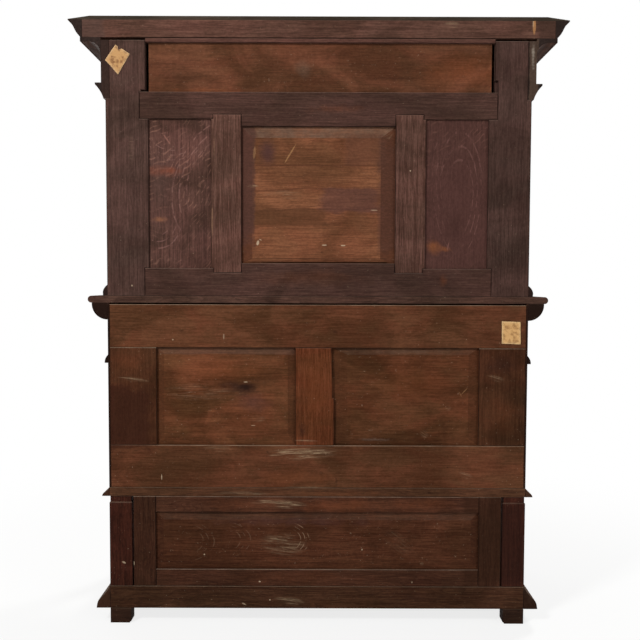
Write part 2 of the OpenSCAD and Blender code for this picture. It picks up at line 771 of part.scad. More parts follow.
module door_frame(side) color(oak_front) difference() {
    in_door(side) panel_frame(door_w, door_h, door_t, door_stile_w, door_rail_h, door_rail_h);
    on_side(side) hinge_pockets(inner_x - hinge_gap, -leaf_off - leaf_t - fit);
    on_side(side) knob_hole(door_in_x + door_stile_w / 2, z_door_low + door_h / 2);
}

module door_panel(side) color(oak_front) in_door(side)
    frame_panel(door_w, door_h, door_t, door_stile_w, door_rail_h, door_rail_h);

module door_knob(side) color(brass) on_side(side)
    knob(door_in_x + door_stile_w / 2, z_door_low + door_h / 2);

// Lower and upper level of a hinge's middle knuckle, from its middle
middle_knuckle = [-hinge_l / 6, hinge_l / 6];

module leaf(z, towards)
    between([min(towards * leaf_off, towards * (leaf_off + leaf_t)),
             max(towards * leaf_off, towards * (leaf_off + leaf_t))] + hinge_x * [1, 1],
            [hinge_y + hinge_pin_r + 0.5, front_y + leaf_d], z);

module door_hinge_leaves(side) color(brass) on_side(side) for (z = hinge_z) {
    difference() {
        union() {
            leaf([z + middle_knuckle[0], z + middle_knuckle[1]], -1);
            between([hinge_x - leaf_off - leaf_t, hinge_x - leaf_off],
                    [front_y + 0.5, front_y + leaf_d], [z - hinge_l / 2, z + hinge_l / 2]);
            translate([hinge_x, hinge_y, z + middle_knuckle[0]])
                cylinder(r = knuckle_r, h = hinge_l / 3, $fn = smooth);
        }
        translate([hinge_x, hinge_y, z - hinge_l])
            cylinder(r = hinge_pin_r + 0.05, h = 2 * hinge_l, $fn = smooth);
    }
}

module case_hinge_leaves() color(brass) both_sides() for (z = hinge_z) {
    for (k = [[-hinge_l / 2, middle_knuckle[0] - knuckle_gap],
              [middle_knuckle[1] + knuckle_gap, hinge_l / 2]]) {
        leaf([z + k[0], z + k[1]], 1);
        translate([hinge_x, hinge_y, z + k[0]]) cylinder(r = knuckle_r, h = k[1] - k[0], $fn = smooth);
    }
    between([hinge_x + leaf_off, hinge_x + leaf_off + leaf_t],
            [front_y + 0.5, front_y + leaf_d], [z - hinge_l / 2, z + hinge_l / 2]);
    translate([hinge_x, hinge_y, z - hinge_l / 2])
        cylinder(r = hinge_pin_r, h = hinge_l, $fn = smooth);
    for (end = [-1, 1])
        translate([hinge_x, hinge_y, z + end * (hinge_l / 2 + 2)]) sphere(r = finial_r, $fn = 32);
}

module quarter_round_moulding() color(dark_oak)
    round_three_sides(hw, front_y, z_round)
        polygon(concat([[0, 0]], arc([0, 0], [round_reach, round_reach], quarter_rise * round_reach, 12),
                       [[round_reach, round_h], [0, round_h]]));

module sideboard_top() color(oak) intersection() {
    translate([0, back_y, z_top]) rotate([90, 0, 0]) linear_extrude(2 * back_y) top_section();
    translate([-hw - top_reach, 0, z_top]) rotate([90, 0, 90]) linear_extrude(2 * (hw + top_reach))
        translate([-back_y, 0]) {
            translate([top_t / 2, 0]) square([2 * back_y - top_t / 2, top_t]);
            translate([top_t / 2, top_t / 2]) circle(d = top_t, $fn = smooth);
        }
}

// Section of the sideboard top across its width, with rounded ends
module top_section() {
    half = hw + top_reach - top_t / 2;
    translate([-half, 0]) square([2 * half, top_t]);
    for (x = [-half, half]) translate([x, top_t / 2]) circle(d = top_t, $fn = smooth);
}

// Seats of the oak side panels and of the mirror's backboard in the frame round them
module mirror_back_seats() {
    both_sides() between([muntin_out_x - groove_d, stile_x + groove_d],
                         [back_y - oak_panel_recess - oak_panel_t - fit, back_y - oak_panel_recess + fit],
                         [z_rail_low - groove_d, z_rail_high + groove_d]);
    between([-mirror_x - groove_d, mirror_x + groove_d],
            [board_front_y - fit, board_front_y + board_edge_t + fit],
            [z_mirror - groove_d, z_mirror_top + groove_d]);
}

// Laps of the muntins onto the rails, in the back half of the frame
module muntin_laps() both_sides()
    between([mirror_x, muntin_out_x - lap_step], [lap_y, back_y], [z_rail_low - lap, z_rail_high + lap]);

module mirror_back_stiles() color(oak) {
    on_side("right") mirror_back_stile(frieze_open_x[1], notch_right);
    on_side("left") mirror_back_stile(-frieze_open_x[0], notch_left);
}

// Right stile of the mirror back, narrowed to x beside the frieze, with a notch above the top rail
module mirror_back_stile(x, notch) difference() {
    between([stile_x, hw], [frame_front_y, back_y], [z_shelf, z_stile_top]);
    mirror_back_seats();
    between([stile_x - 1, x], [frame_front_y - 1, back_y + 1], [z_frieze, z_stile_top + 1]);
    between([frieze_x - frieze_t, hw + 1], [frame_front_y - 1, back_y + 1], [z_necking, z_stile_top + 1]);
    between([stile_x - 1, stile_x + top_lap], [lap_y, back_y + 1], [z_rail_high, z_frieze]);
    between([x - 1, x + notch[0]], [lap_y, back_y + 1], [z_frieze, z_frieze + notch[1]]);
    between([stile_x - 1, stile_x + lap], [lap_y, back_y + 1], [z_shelf - 1, z_rail_low]);
}

module mirror_back_rails() color(oak) difference() {
    union() {
        between([-stile_x, stile_x], [frame_front_y, back_y], [z_rail_high, z_frieze]);
        between([-mirror_x, mirror_x], [frame_front_y, back_y], [z_mirror_top, z_rail_high]);
        between([-stile_x - top_lap, stile_x + top_lap], [lap_y, back_y], [z_rail_high, z_frieze]);
        between([-stile_x, stile_x], [frame_front_y, back_y], [z_shelf, z_rail_low]);
        between([-mirror_x, mirror_x], [frame_front_y, back_y], [z_rail_low, z_mirror]);
        between([-stile_x - lap, stile_x + lap], [lap_y, back_y], [z_shelf, z_rail_low]);
    }
    mirror_back_seats();
    muntin_laps();
}

module mirror_back_muntins() color(oak) difference() {
    union() {
        both_sides() between([mirror_x, muntin_out_x], [frame_front_y, back_y], [z_rail_low, z_rail_high]);
        muntin_laps();
    }
    mirror_back_seats();
}

module oak_side_panels() color("#4b2f28") both_sides()
    between([muntin_out_x - panel_in, stile_x + panel_in],
            [back_y - oak_panel_recess - oak_panel_t, back_y - oak_panel_recess],
            [z_rail_low - panel_in, z_rail_high + panel_in]);

module mirror_backboard() color("#764828")
    translate([0, board_front_y, z_mirror - panel_in])
        fielded(2 * (mirror_x + panel_in), z_mirror_top - z_mirror + 2 * panel_in,
                board_edge_t + board_raise, board_edge_t, board_bevels);

module mirror_glass() color("#b9c4c8")
    translate([0, glass_front_y + glass_t, z_mirror + 1]) mirror([0, 1, 0])
        fielded(2 * (mirror_x - 1), z_mirror_top - z_mirror - 2, glass_t, glass_t / 2,
                glass_bevel * [1, 1, 1, 1], glass_cover);

// Mitred frame round an opening w by h; the section's X runs outward, its Y to the front
module picture_frame(w, h, section_w) {
    for (turn = [0:3]) {
        l = turn % 2 == 0 ? w : h;
        off = (w + h - l) / 2 + glue_line;
        rotate([0, 90 * turn, 0]) translate([0, 0, -off]) intersection() {
            translate([l, 0, 0]) rotate([0, 90, 180]) linear_extrude(2 * l) children();
            translate([0, l, 0]) rotate([90, 0, 0]) linear_extrude(2 * l)
                polygon([[-l / 2, 0], [l / 2, 0], [l / 2 + section_w, -section_w],
                         [-l / 2 - section_w, -section_w]]);
        }
    }
}

module mirror_moulding() color(dark_oak) {
    step = glass_front_y - frame_front_y;
    w = glass_cover + 20;
    translate([0, glass_front_y, (z_mirror + z_mirror_top) / 2])
        picture_frame(2 * (mirror_x - glass_cover), z_mirror_top - z_mirror - 2 * glass_cover, w)
            polygon(concat([[0, 0], [glass_cover - 0.5, 0], [glass_cover - 0.5, step], [w, step],
                            [w, step + 6]],
                           arc([w, step + 6], [w / 2, step + 16], 3),
                           [[w / 2 - 3, step + 14]],
                           arc([w / 2 - 3, step + 14], [0, 4], 2)));
}

module mirror_foot_moulding() color(oak)
    round_three_sides(hw, frame_front_y, z_shelf)
        polygon(concat([[0, 0], [foot_moulding_reach - 1, 0], [foot_moulding_reach, 12]],
                       arc([foot_moulding_reach, 12], [0, foot_moulding_h], 3)));

module columns() color(oak_front) both_sides()
    turned_member(hw - post_w / 2, frieze_y + post_w / 2, z_shelf, z_necking, column_block_h, column_r);

module frieze_back_panel() color("#6c4029")
    between(frieze_open_x + frieze_panel_gap * [1, -1],
            (back_y - frieze_panel_recess) * [1, 1] - [frieze_panel_t, 0], [z_frieze, z_batten]);

module frieze_batten() color(oak)
    between(frieze_open_x, [frame_front_y, back_y], [z_batten, z_batten + batten_h]);

module frieze_boards() color(oak_front)
    round_three_sides(frieze_x, frieze_y, z_necking)
        polygon([[-frieze_t, 0], [-necking_rebate, 0], [-necking_rebate, necking_h], [0, necking_h],
                 [0, z_stile_top - z_necking], [-frieze_t, z_stile_top - z_necking]]);

module canopy_soffit() color(oak_front)
    between((frieze_x - frieze_t) * [-1, 1], [frieze_y + frieze_t, frame_front_y],
            [z_necking, z_necking + soffit_t]);

module necking_moulding() color(dark_oak)
    round_three_sides(frieze_x, frieze_y, z_necking)
        polygon(concat([[-necking_rebate, 0], [3 - necking_rebate, 0]],
                       arc([3 - necking_rebate, 0], [necking_reach, necking_h - 6], -3.5),
                       [[necking_reach, necking_h], [-necking_rebate, necking_h]]));

module bed_moulding() color(dark_oak)
    round_three_sides(frieze_x, frieze_y, z_cornice - crown_drop - bed_cove)
        polygon(concat([[0, 0]],
                       arc([0, 0], [bed_cove, bed_cove], -quarter_rise * bed_cove),
                       [[ground_reach, bed_cove], [ground_reach, bed_cove + crown_drop],
                        [0, bed_cove + crown_drop]]));

module cornice_ground() color(raw_pine) {
    round_three_sides(frieze_x, frieze_y, z_cornice, inside_y)
        translate([-frieze_t, 0]) square([ground_reach + frieze_t, ground_t]);
    round_three_sides(frieze_x, frieze_y, z_stile_top, inside_y - board_t)
        translate([-frieze_t, 0]) square([frieze_t, cornice_gap]);
}

module cornice_back_board() color("#5a3d33")
    between([-crown_x, crown_x], [inside_y, back_y], [z_cornice, z_roof]);

module crown_moulding() color(dark_oak) {
    h = cornice_h + crown_drop;
    round_three_sides(crown_x, crown_y, z_cornice - crown_drop)
        polygon(concat([[0, 0], [7, 0]],
                       [for (i = [0:10]) let (t = i / 10)
                            [7 + (crown_reach - 9) * t + 2 * sin(360 * t),
                             crown_drop + 2 + (h - crown_drop - 4) * t]],
                       [[crown_reach, h - 2], [crown_reach, h], [0, h]]));
}

module cornice_top_board() color(oak) {
    half = crown_x + crown_reach;
    front = crown_y - crown_reach;
    intersection() {
        translate([0, back_y, z_roof]) rotate([90, 0, 0]) linear_extrude(back_y - front)
            polygon([[-half, 0], [half, 0], [half, roof_edge_t], [half - roof_bevel, roof_t],
                     [-half + roof_bevel, roof_t], [-half, roof_edge_t]]);
        translate([-half, 0, z_roof]) rotate([90, 0, 90]) linear_extrude(2 * half)
            polygon([[front, 0], [back_y, 0], [back_y, roof_t], [front + roof_bevel, roof_t],
                     [front, roof_edge_t]]);
    }
}

module drawer_left_front() drawer_front("left");
module drawer_left_box() drawer_box("left");
module drawer_left_bottom() drawer_bottom("left");
module drawer_left_knobs() drawer_knobs("left");
module drawer_right_front() drawer_front("right");
module drawer_right_box() drawer_box("right");
module drawer_right_bottom() drawer_bottom("right");
module drawer_right_knobs() drawer_knobs("right");
module door_left_frame() door_frame("left");
module door_left_panel() door_panel("left");
module door_left_knob() door_knob("left");
module door_left_hinge_leaves() door_hinge_leaves("left");
module door_right_frame() door_frame("right");
module door_right_panel() door_panel("right");
module door_right_knob() door_knob("right");
module door_right_hinge_leaves() door_hinge_leaves("right");

feet();
plinth_rails();
pot_board();
plinth_moulding();
rear_posts();
front_legs();
stand_back_frame();
stand_back_panel();
case_base_rails();
case_floor();
case_end_frames();
case_end_panels();
case_front_frame();
case_back_frame();
case_back_muntin();
case_back_panels();
dust_board();
drawer_guides();
cupboard_shelf();
shelf_bearers();
string_moulding();
drawer_left_front();
drawer_left_box();
drawer_left_bottom();
drawer_left_knobs();
drawer_right_front();
drawer_right_box();
drawer_right_bottom();
drawer_right_knobs();
door_left_frame();
door_left_panel();
door_left_knob();
door_left_hinge_leaves();
door_right_frame();
door_right_panel();
door_right_knob();
door_right_hinge_leaves();
case_hinge_leaves();
quarter_round_moulding();
sideboard_top();
mirror_back_stiles();
mirror_back_rails();
mirror_back_muntins();
oak_side_panels();
mirror_backboard();
mirror_glass();
mirror_moulding();
mirror_foot_moulding();
columns();
frieze_back_panel();
frieze_batten();
frieze_boards();
canopy_soffit();
necking_moulding();
bed_moulding();
cornice_ground();
cornice_back_board();
crown_moulding();
cornice_top_board();
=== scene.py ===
"""Mirror-back sideboard of stained oak and pine, dressed for a view of its back.

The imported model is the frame. Every wooden node of it is carried over as an eased copy: the
same form with its arrises taken off, and with the run of its grain kept on each board. The
paper labels on the back are the only pieces without a solid.
"""

import json
import logging
import math
from collections.abc import Callable
from dataclasses import dataclass
from enum import Enum
from functools import cache, partial

import bmesh
import bpy
import numpy as np
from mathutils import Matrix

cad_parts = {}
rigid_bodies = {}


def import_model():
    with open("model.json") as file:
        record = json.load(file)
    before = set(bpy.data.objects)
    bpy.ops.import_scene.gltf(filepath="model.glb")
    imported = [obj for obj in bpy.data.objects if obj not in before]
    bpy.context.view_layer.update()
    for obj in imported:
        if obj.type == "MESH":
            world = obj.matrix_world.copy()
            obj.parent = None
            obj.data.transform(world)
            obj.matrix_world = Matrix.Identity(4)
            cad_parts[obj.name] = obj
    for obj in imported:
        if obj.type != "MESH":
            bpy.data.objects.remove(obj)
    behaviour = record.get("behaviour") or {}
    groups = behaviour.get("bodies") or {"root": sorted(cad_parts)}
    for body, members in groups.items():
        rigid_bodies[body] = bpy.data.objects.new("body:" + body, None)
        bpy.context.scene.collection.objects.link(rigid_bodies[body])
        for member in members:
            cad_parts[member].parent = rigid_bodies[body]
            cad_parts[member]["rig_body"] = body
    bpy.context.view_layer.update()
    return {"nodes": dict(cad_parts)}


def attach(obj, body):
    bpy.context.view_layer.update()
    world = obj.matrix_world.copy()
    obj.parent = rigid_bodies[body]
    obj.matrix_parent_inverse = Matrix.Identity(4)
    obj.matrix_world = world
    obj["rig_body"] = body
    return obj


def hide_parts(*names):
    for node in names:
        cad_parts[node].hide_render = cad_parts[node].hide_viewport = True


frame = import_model()

log = logging.getLogger("sideboard")
CARCASE = "carcase"
# level of the back, on which the marks and the labels lie, in metres
BACK_Y = 0.2825
# millimetres in a metre
MM = 1000
# weight of a finer layer of noise against the layer before it
FINER_LAYER = 0.6
# tones laid over a board: its darker and lighter blotches, its redder and greener areas, and the
# grain that shows through the blemishes
BLOTCH_TONES = ("#5e6058", "#c2bec2")
HUE_TONES = ("#cab7b2", "#b2bfb4")
GRAIN_TONES = ("#a0a0a0", "#d3d3d3")
# painted shade on arrises that look down or aside: the dark line where parts meet
ARRIS_PAINTED_SHADE = "#160d0a"
# share of the dark colour on end grain
END_GRAIN_SHARE = 0.75
# depth of the relief of fibres and figure, in metres
RELIEF_DEPTH = 0.0012
COAT_ROUGHNESS = 0.25

Socket = bpy.types.NodeSocket
# adds a node to a tree and returns the output that is read
Put = Callable[..., Socket]
# x, z, reach and shade: a solid whose middle lies within reach of x and z takes the shade
Shade = tuple[float, float, float, float]
# corners of a label, as x and z
Corners = tuple[tuple[float, float], ...]


class Figure(Enum):
    """How a board was cut, which decides the figure on its face."""

    SLASH_SAWN = "slash sawn, with growth rings"
    QUARTERED = "quartered, with silver ray figure"
    KNOTTY = "slash sawn softwood"


class Blemish(Enum):
    """Marks on the boards, each with its colour: most are what age has left, a few are painted
    light, shade or sheen.
    """

    SCUFF = ("pale rubbed streaks along the grain", "#9a8368")
    SWIRL = ("faint curved scratches", "#7e6450")
    # also drawn as painted shade on the frieze's end nearer the key lamp
    STAIN = ("dark stained patch", "#2b1a15")
    BAND = ("darker area that ends at a line", "#35201a")
    BLOOM = ("purple bloom under the polish", "#4a302b")
    # also drawn as painted light on the frieze's end far from the key lamp
    WARM = ("patch where the stain has worn to the warm wood", "#7a4429")
    RAW = ("bare wood where the surface was knocked off", "#9c744e")
    KNOT = ("knot", "#20120e")
    FLECK = ("small pale nick", "#b09a80")
    # also drawn as a thin pale line of painted sheen on the end of the bed moulding
    DUST = ("settled grey dust", "#65564a")


# the kinds by themselves, in the order above, for the tables of marks
SCUFF, SWIRL, STAIN, BAND, BLOOM, WARM, RAW, KNOT, FLECK, DUST = Blemish


class Ease(Enum):
    """How far the arrises of a piece are worn, as the width that is planed off, in metres."""

    TURNED = 0.0
    KEEN = 0.0004
    CRISP = 0.0006
    SLIGHT = 0.0008
    SOFT = 0.0010
    EVEN = 0.0012
    ROUNDED = 0.0015
    WORN = 0.0018


class Node(Enum):
    """The nodes that the finishes are made of.

    Each has its type, without the word ShaderNode before it, its settings, its inputs in the
    order in which they are given, and the output that is read.
    """

    SUM = ("Math", {"operation": "ADD"}, (0, 1), 0)
    LESS = ("Math", {"operation": "SUBTRACT"}, (0, 1), 0)
    TIMES = ("Math", {"operation": "MULTIPLY"}, (0, 1), 0)
    POWER = ("Math", {"operation": "POWER"}, (0, 1), 0)
    MOST = ("Math", {"operation": "MAXIMUM"}, (0, 1), 0)
    ROOT = ("Math", {"operation": "SQRT"}, (0,), 0)
    SIZE = ("Math", {"operation": "ABSOLUTE"}, (0,), 0)
    PART = ("Math", {"operation": "FRACT"}, (0,), 0)
    STRETCHED = ("VectorMath", {"operation": "MULTIPLY"}, (0, 1), 0)
    SHIFTED = ("VectorMath", {"operation": "SUBTRACT"}, (0, 1), 0)
    LENGTH = ("VectorMath", {"operation": "LENGTH"}, (0,), "Value")
    TURNED = ("VectorRotate", {}, ("Vector", "Center", "Axis", "Angle"), 0)
    FIRST = ("SeparateXYZ", {}, (0,), 0)
    SECOND = ("SeparateXYZ", {}, (0,), 1)
    THIRD = ("SeparateXYZ", {}, (0,), 2)
    PLACE = ("TexCoord", {}, (), "Object")
    FACING = ("TexCoord", {}, (), "Normal")
    GRAIN = ("Attribute", {"attribute_name": "grain"}, (), "Vector")
    BOARD = ("Attribute", {"attribute_name": "board"}, (), "Fac")
    END = ("Attribute", {"attribute_name": "end"}, (), "Fac")
    ARRIS = ("Attribute", {"attribute_name": "arris"}, (), "Fac")
    RIM = ("Attribute", {"attribute_name": "rim"}, (), "Fac")
    RAMP = ("MapRange", {"interpolation_type": "SMOOTHSTEP"},
            ("Value", "From Min", "From Max", "To Min", "To Max"), 0)
    CLOUD = ("TexNoise", {}, ("Vector", "Scale", "Detail", "Roughness", "Distortion"), 0)
    BLEND = ("Mix", {"data_type": "RGBA"}, (0, 6, 7), 2)
    OVERLAY = ("Mix", {"data_type": "RGBA", "blend_type": "OVERLAY"}, (0, 6, 7), 2)
    SHADED = ("HueSaturation", {}, ("Value", "Color"), 0)
    RELIEF = ("Bump", {}, ("Height", "Strength", "Distance"), 0)
    STAINED = ("BsdfPrincipled", {}, ("Base Color", "Roughness", "Normal", "Specular IOR Level",
                                      "Coat Weight", "Coat Roughness"), 0)
    METAL = ("BsdfPrincipled", {}, ("Base Color", "Roughness", "Metallic"), 0)
    CHALKY = ("BsdfDiffuse", {}, ("Color",), 0)
    GLOWING = ("Emission", {}, ("Color", "Strength"), 0)
    SKY = ("Background", {}, ("Color", "Strength"), 0)
    EITHER = ("MixShader", {}, (0, 1, 2), 0)
    FROM_CAMERA = ("LightPath", {}, (), "Is Camera Ray")
    FROM_MIRROR = ("LightPath", {}, (), "Is Glossy Ray")
    THROUGH_GLASS = ("LightPath", {}, (), "Is Transmission Ray")
    SURFACE = ("OutputMaterial", {}, ("Surface",), None)
    WORLD = ("OutputWorld", {}, ("Surface",), None)


def add(tree: bpy.types.NodeTree, node: Node, *values: object) -> Socket | None:
    """Add a node with its settings, values and links.

    Args:
        tree: the node tree of a material or of the world.
        node: which node it is.
        values: for each of its inputs in turn a value, or the socket that feeds it.

    Returns:
        The output that is read, or nothing where the node ends the tree.
    """
    kind, settings, inputs, output = node.value
    made = tree.nodes.new(f"ShaderNode{kind}")
    for name, setting in settings.items():
        setattr(made, name, setting)
    for name, value in zip(inputs, values):
        if isinstance(value, Socket):
            tree.links.new(value, made.inputs[name])
        else:
            made.inputs[name].default_value = value
    return None if output is None else made.outputs[output]


def linear(code: str) -> tuple[float, float, float, float]:
    """Turn an sRGB colour into Blender's linear colour.

    It follows the curve of sRGB: a straight line near black, and a power of 2.4 above that.

    Args:
        code: the colour as #rrggbb.

    Returns:
        Red, green, blue and an alpha of one.
    """
    srgb = [int(code[i:i + 2], 16) / 255 for i in (1, 3, 5)]
    red, green, blue = (c / 12.92 if c <= 0.04045 else ((c + 0.055) / 1.055) ** 2.4 for c in srgb)
    return (red, green, blue, 1.0)


def started(name: str) -> tuple[bpy.types.Material, Put]:
    """Start an empty material.

    Args:
        name: the material's name.

    Returns:
        The material, and the function that adds a node to it.
    """
    made = bpy.data.materials.new(name)
    made.use_nodes = True
    made.node_tree.nodes.clear()
    return made, partial(add, made.node_tree)


def cells(put: Put, place: Socket, along: float, across: float, detail: float = 2.0,
          warp: float = 0.0) -> Socket:
    """Make noise whose cells are along by across millimetres.

    Args:
        put: adds a node.
        place: coordinates in metres, the run of the grain first.
        along: size of a cell along the grain.
        across: size of a cell across the grain.
        detail: number of finer layers.
        warp: how far the layers push each other about.

    Returns:
        The noise, about 0.5 on average.
    """
    stretched = put(Node.STRETCHED, place, (MM / along, MM / across, MM / across))
    return put(Node.CLOUD, stretched, 1.0, detail, FINER_LAYER, warp)


class Pattern(Enum):
    """The noise patterns of wood and wear.

    Each has the size of a cell along and across the grain in millimetres, its finer layers and
    its warp, and then the levels of the noise between which it sets in. Pores and fibres are a
    tenth of a millimetre wide on real boards and specks hardly wider. None of them would show
    from a few metres away, so they are drawn some two millimetres wide, and specks wider.
    """

    LONG_FIBRES = ((260, 8.0, 4.0, 0.3), ())
    SHORT_FIBRES = ((70, 2.1, 3.0, 0.2), ())
    OPEN_GRAIN = ((11, 6, 3.0), ())
    PORES = ((30, 1.9, 2.0), (0.56, 0.68))
    RING_WANDER = ((300, 70, 2.0), ())
    RAY_WANDER = ((210, 130, 2.0, 0.4), ())
    RAY_DASHES = ((24, 34, 3.0, 0.5), (0.45, 0.58))
    RAY_FIELDS = ((190, 90, 1.0), (0.38, 0.54))
    BLOTCHES = ((240, 150, 4.0, 0.8), (0.34, 0.66))
    HUE_DRIFT = ((170, 80, 3.0, 0.6), (0.36, 0.64))
    PLANK_WAVE = ((190, 500, 1.0), ())
    LOOSE_DUST = ((40, 40, 4.0), (0.35, 0.65))
    SPECKS = ((8, 6, 3.0), (0.66, 0.77))
    RUBBING = ((90, 60, 3.0), (0.35, 0.65))
    SCRATCH_BEND = ((60, 60, 1.0), ())
    SCRATCH_BREAKS = ((34, 22, 3.0), (0.44, 0.58))
    SCUFF_STREAKS = ((75, 2.6, 4.0, 0.3), (0.46, 0.60))
    SCUFF_CLOUD = ((90, 9, 4.0, 0.4), (0.40, 0.60))
    BAND_EDGE = ((60, 30, 4.0), ())

    def on(self, put: Put, place: Socket) -> Socket:
        """Return the pattern's plain noise on these coordinates."""
        return cells(put, place, *self.value[0])

    def share(self, put: Put, place: Socket, least: float = 0.0, most: float = 1.0) -> Socket:
        """Return the pattern as a share that goes from least to most where it sets in."""
        return put(Node.RAMP, self.on(put, place), *self.value[1], least, most)


@dataclass(frozen=True)
class Mark:
    """One mark on the back, a blemish or in a few places painted light or shade: its middle and its
    half sizes, in millimetres.

    Its shape is worked out in its own coordinates: moved ones are metres from its middle, and
    shrunk ones are half sizes from its middle. A positive turn leans its top to the
    photograph's right. A tone replaces the colour of its kind.
    """

    kind: Blemish
    x: float
    z: float
    half_x: float
    half_z: float
    strength: float = 1.0
    turn: float = 0.0
    tone: str = ""

    # a swirl: rings to a half size, their bend, half widths between which a scratch fades, and
    # then in half sizes where the scratches start, how far inside the edge they end, and how far
    # to the right of the middle they lie
    RINGS, RING_BEND, SCRATCH = 7.0, 0.05, (0.03, 0.14)
    START, END, RIGHT = (0.5, 0.65), 0.1, (0.3, 0.6)
    # a scuff: least share of a streak, and how far inside the edge it has its full strength
    STREAK_LEAST, SCUFF_FULL = 0.12, 0.55
    # a band: how far its edge wanders, and the half sizes between which it ends
    BAND_WANDER, BAND_END = 0.9, (0.75, 1.08)
    # a patch: its cells against its smaller half size, the finer layers and the even level of
    # its noise, where its edge starts, and for crisp and soft ones how far the noise pushes the
    # edge and where the edge ends
    PATCH_CELLS, PATCH_LAYERS, PATCH_LEVEL, PATCH_EDGE = (2.08, 1.56), 4.0, 0.42, -0.05
    CRISP, SOFT = (0.8, 0.35), (1.8, 1.0)

    def laid(self, put: Put, place: Socket, colour: Socket) -> Socket:
        """Lay the blemish over a colour.

        Args:
            put: adds a node.
            place: the object's own coordinates.
            colour: the colour under the blemish.

        Returns:
            The colour with the blemish.
        """
        middle = (self.x / MM, 0, self.z / MM)
        turned = put(Node.TURNED, place, middle, (0, 1, 0), self.turn)
        moved = put(Node.SHIFTED, turned, middle)
        shrunk = put(Node.STRETCHED, moved, (MM / self.half_x, 0, MM / self.half_z))
        ways = {SWIRL: self.scratches, SCUFF: self.streaks, BAND: self.box}
        share = ways.get(self.kind, self.patch)(put, moved, shrunk)
        return put(Node.BLEND, share, colour, linear(self.tone or self.kind.value[1]))

    def scratches(self, put: Put, moved: Socket, shrunk: Socket) -> Socket:
        """Draw the curved scratches of a swirl.

        They are the rings where RINGS times the distance from the middle falls near a half after
        the point. Noise bends and breaks them, and only those between START and the ellipse's
        edge are kept, on the side that looks to the photograph's right.

        Args:
            put: adds a node.
            moved: metres from the middle.
            shrunk: half sizes from the middle.

        Returns:
            The share of the blemish's colour.
        """
        far = put(Node.LENGTH, shrunk)
        noise = put(Node.TIMES, Pattern.SCRATCH_BEND.on(put, moved), self.RING_BEND)
        rings = put(Node.PART, put(Node.TIMES, put(Node.SUM, far, noise), self.RINGS))
        near = put(Node.RAMP, put(Node.SIZE, put(Node.LESS, rings, 0.5)), *self.SCRATCH, 1.0, 0.0)
        broken = Pattern.SCRATCH_BREAKS.share(put, moved, 0.0, self.strength)
        edge = put(Node.RAMP, put(Node.LESS, 1.0, far), 0.0, self.END)
        outer = put(Node.TIMES, put(Node.RAMP, far, *self.START), edge)
        reach = (-part * self.half_x / MM for part in self.RIGHT)
        right = put(Node.RAMP, put(Node.FIRST, moved), *reach)
        return put(Node.TIMES, put(Node.TIMES, near, broken), put(Node.TIMES, outer, right))

    def streaks(self, put: Put, moved: Socket, shrunk: Socket) -> Socket:
        """Draw the rubbed streaks of a scuff, which thin out towards the ellipse's edge.

        Args:
            put: adds a node.
            moved: metres from the middle.
            shrunk: half sizes from the middle.

        Returns:
            The share of the blemish's colour.
        """
        streaks = Pattern.SCUFF_STREAKS.share(put, moved, self.STREAK_LEAST)
        cloud = Pattern.SCUFF_CLOUD.share(put, moved)
        inside = put(Node.LESS, 1.0, put(Node.LENGTH, shrunk))
        fading = put(Node.RAMP, inside, 0.0, self.SCUFF_FULL, 0.0, self.strength)
        return put(Node.TIMES, put(Node.TIMES, streaks, cloud), fading)

    def box(self, put: Put, moved: Socket, shrunk: Socket) -> Socket:
        """Draw a band: a box whose distance is the greater of the two ways, its edge ragged.

        Args:
            put: adds a node.
            moved: metres from the middle.
            shrunk: half sizes from the middle.

        Returns:
            The share of the blemish's colour.
        """
        wide, high = (put(Node.SIZE, put(way, shrunk)) for way in (Node.FIRST, Node.THIRD))
        noise = put(Node.LESS, Pattern.BAND_EDGE.on(put, moved), 0.5)
        far = put(Node.SUM, put(Node.MOST, wide, high), put(Node.TIMES, noise, self.BAND_WANDER))
        return put(Node.RAMP, far, *self.BAND_END, self.strength, 0.0)

    def patch(self, put: Put, moved: Socket, shrunk: Socket) -> Socket:
        """Draw a patch: an ellipse worn ragged by noise whose cells go with its own size.

        Args:
            put: adds a node.
            moved: metres from the middle.
            shrunk: half sizes from the middle.

        Returns:
            The share of the blemish's colour.
        """
        push, end = self.CRISP if self.kind in (FLECK, RAW) else self.SOFT
        along, across = (part * min(self.half_x, self.half_z) for part in self.PATCH_CELLS)
        noise = cells(put, moved, along, across, self.PATCH_LAYERS)
        inside = put(Node.LESS, 1.0, put(Node.LENGTH, shrunk))
        pushed = put(Node.TIMES, put(Node.LESS, noise, self.PATCH_LEVEL), push)
        edge = put(Node.LESS, inside, pushed)
        return put(Node.RAMP, edge, self.PATCH_EDGE, end, 0.0, self.strength)


@dataclass(frozen=True)
class Plank:
    """A plank of a glued-up board.

    It has the level of its upper edge in millimetres, its shade below that, how far the edge
    waves in millimetres, and how dark the line is.
    """

    level: float
    shade: float
    wave: float = 0.0
    line: float = 0.6


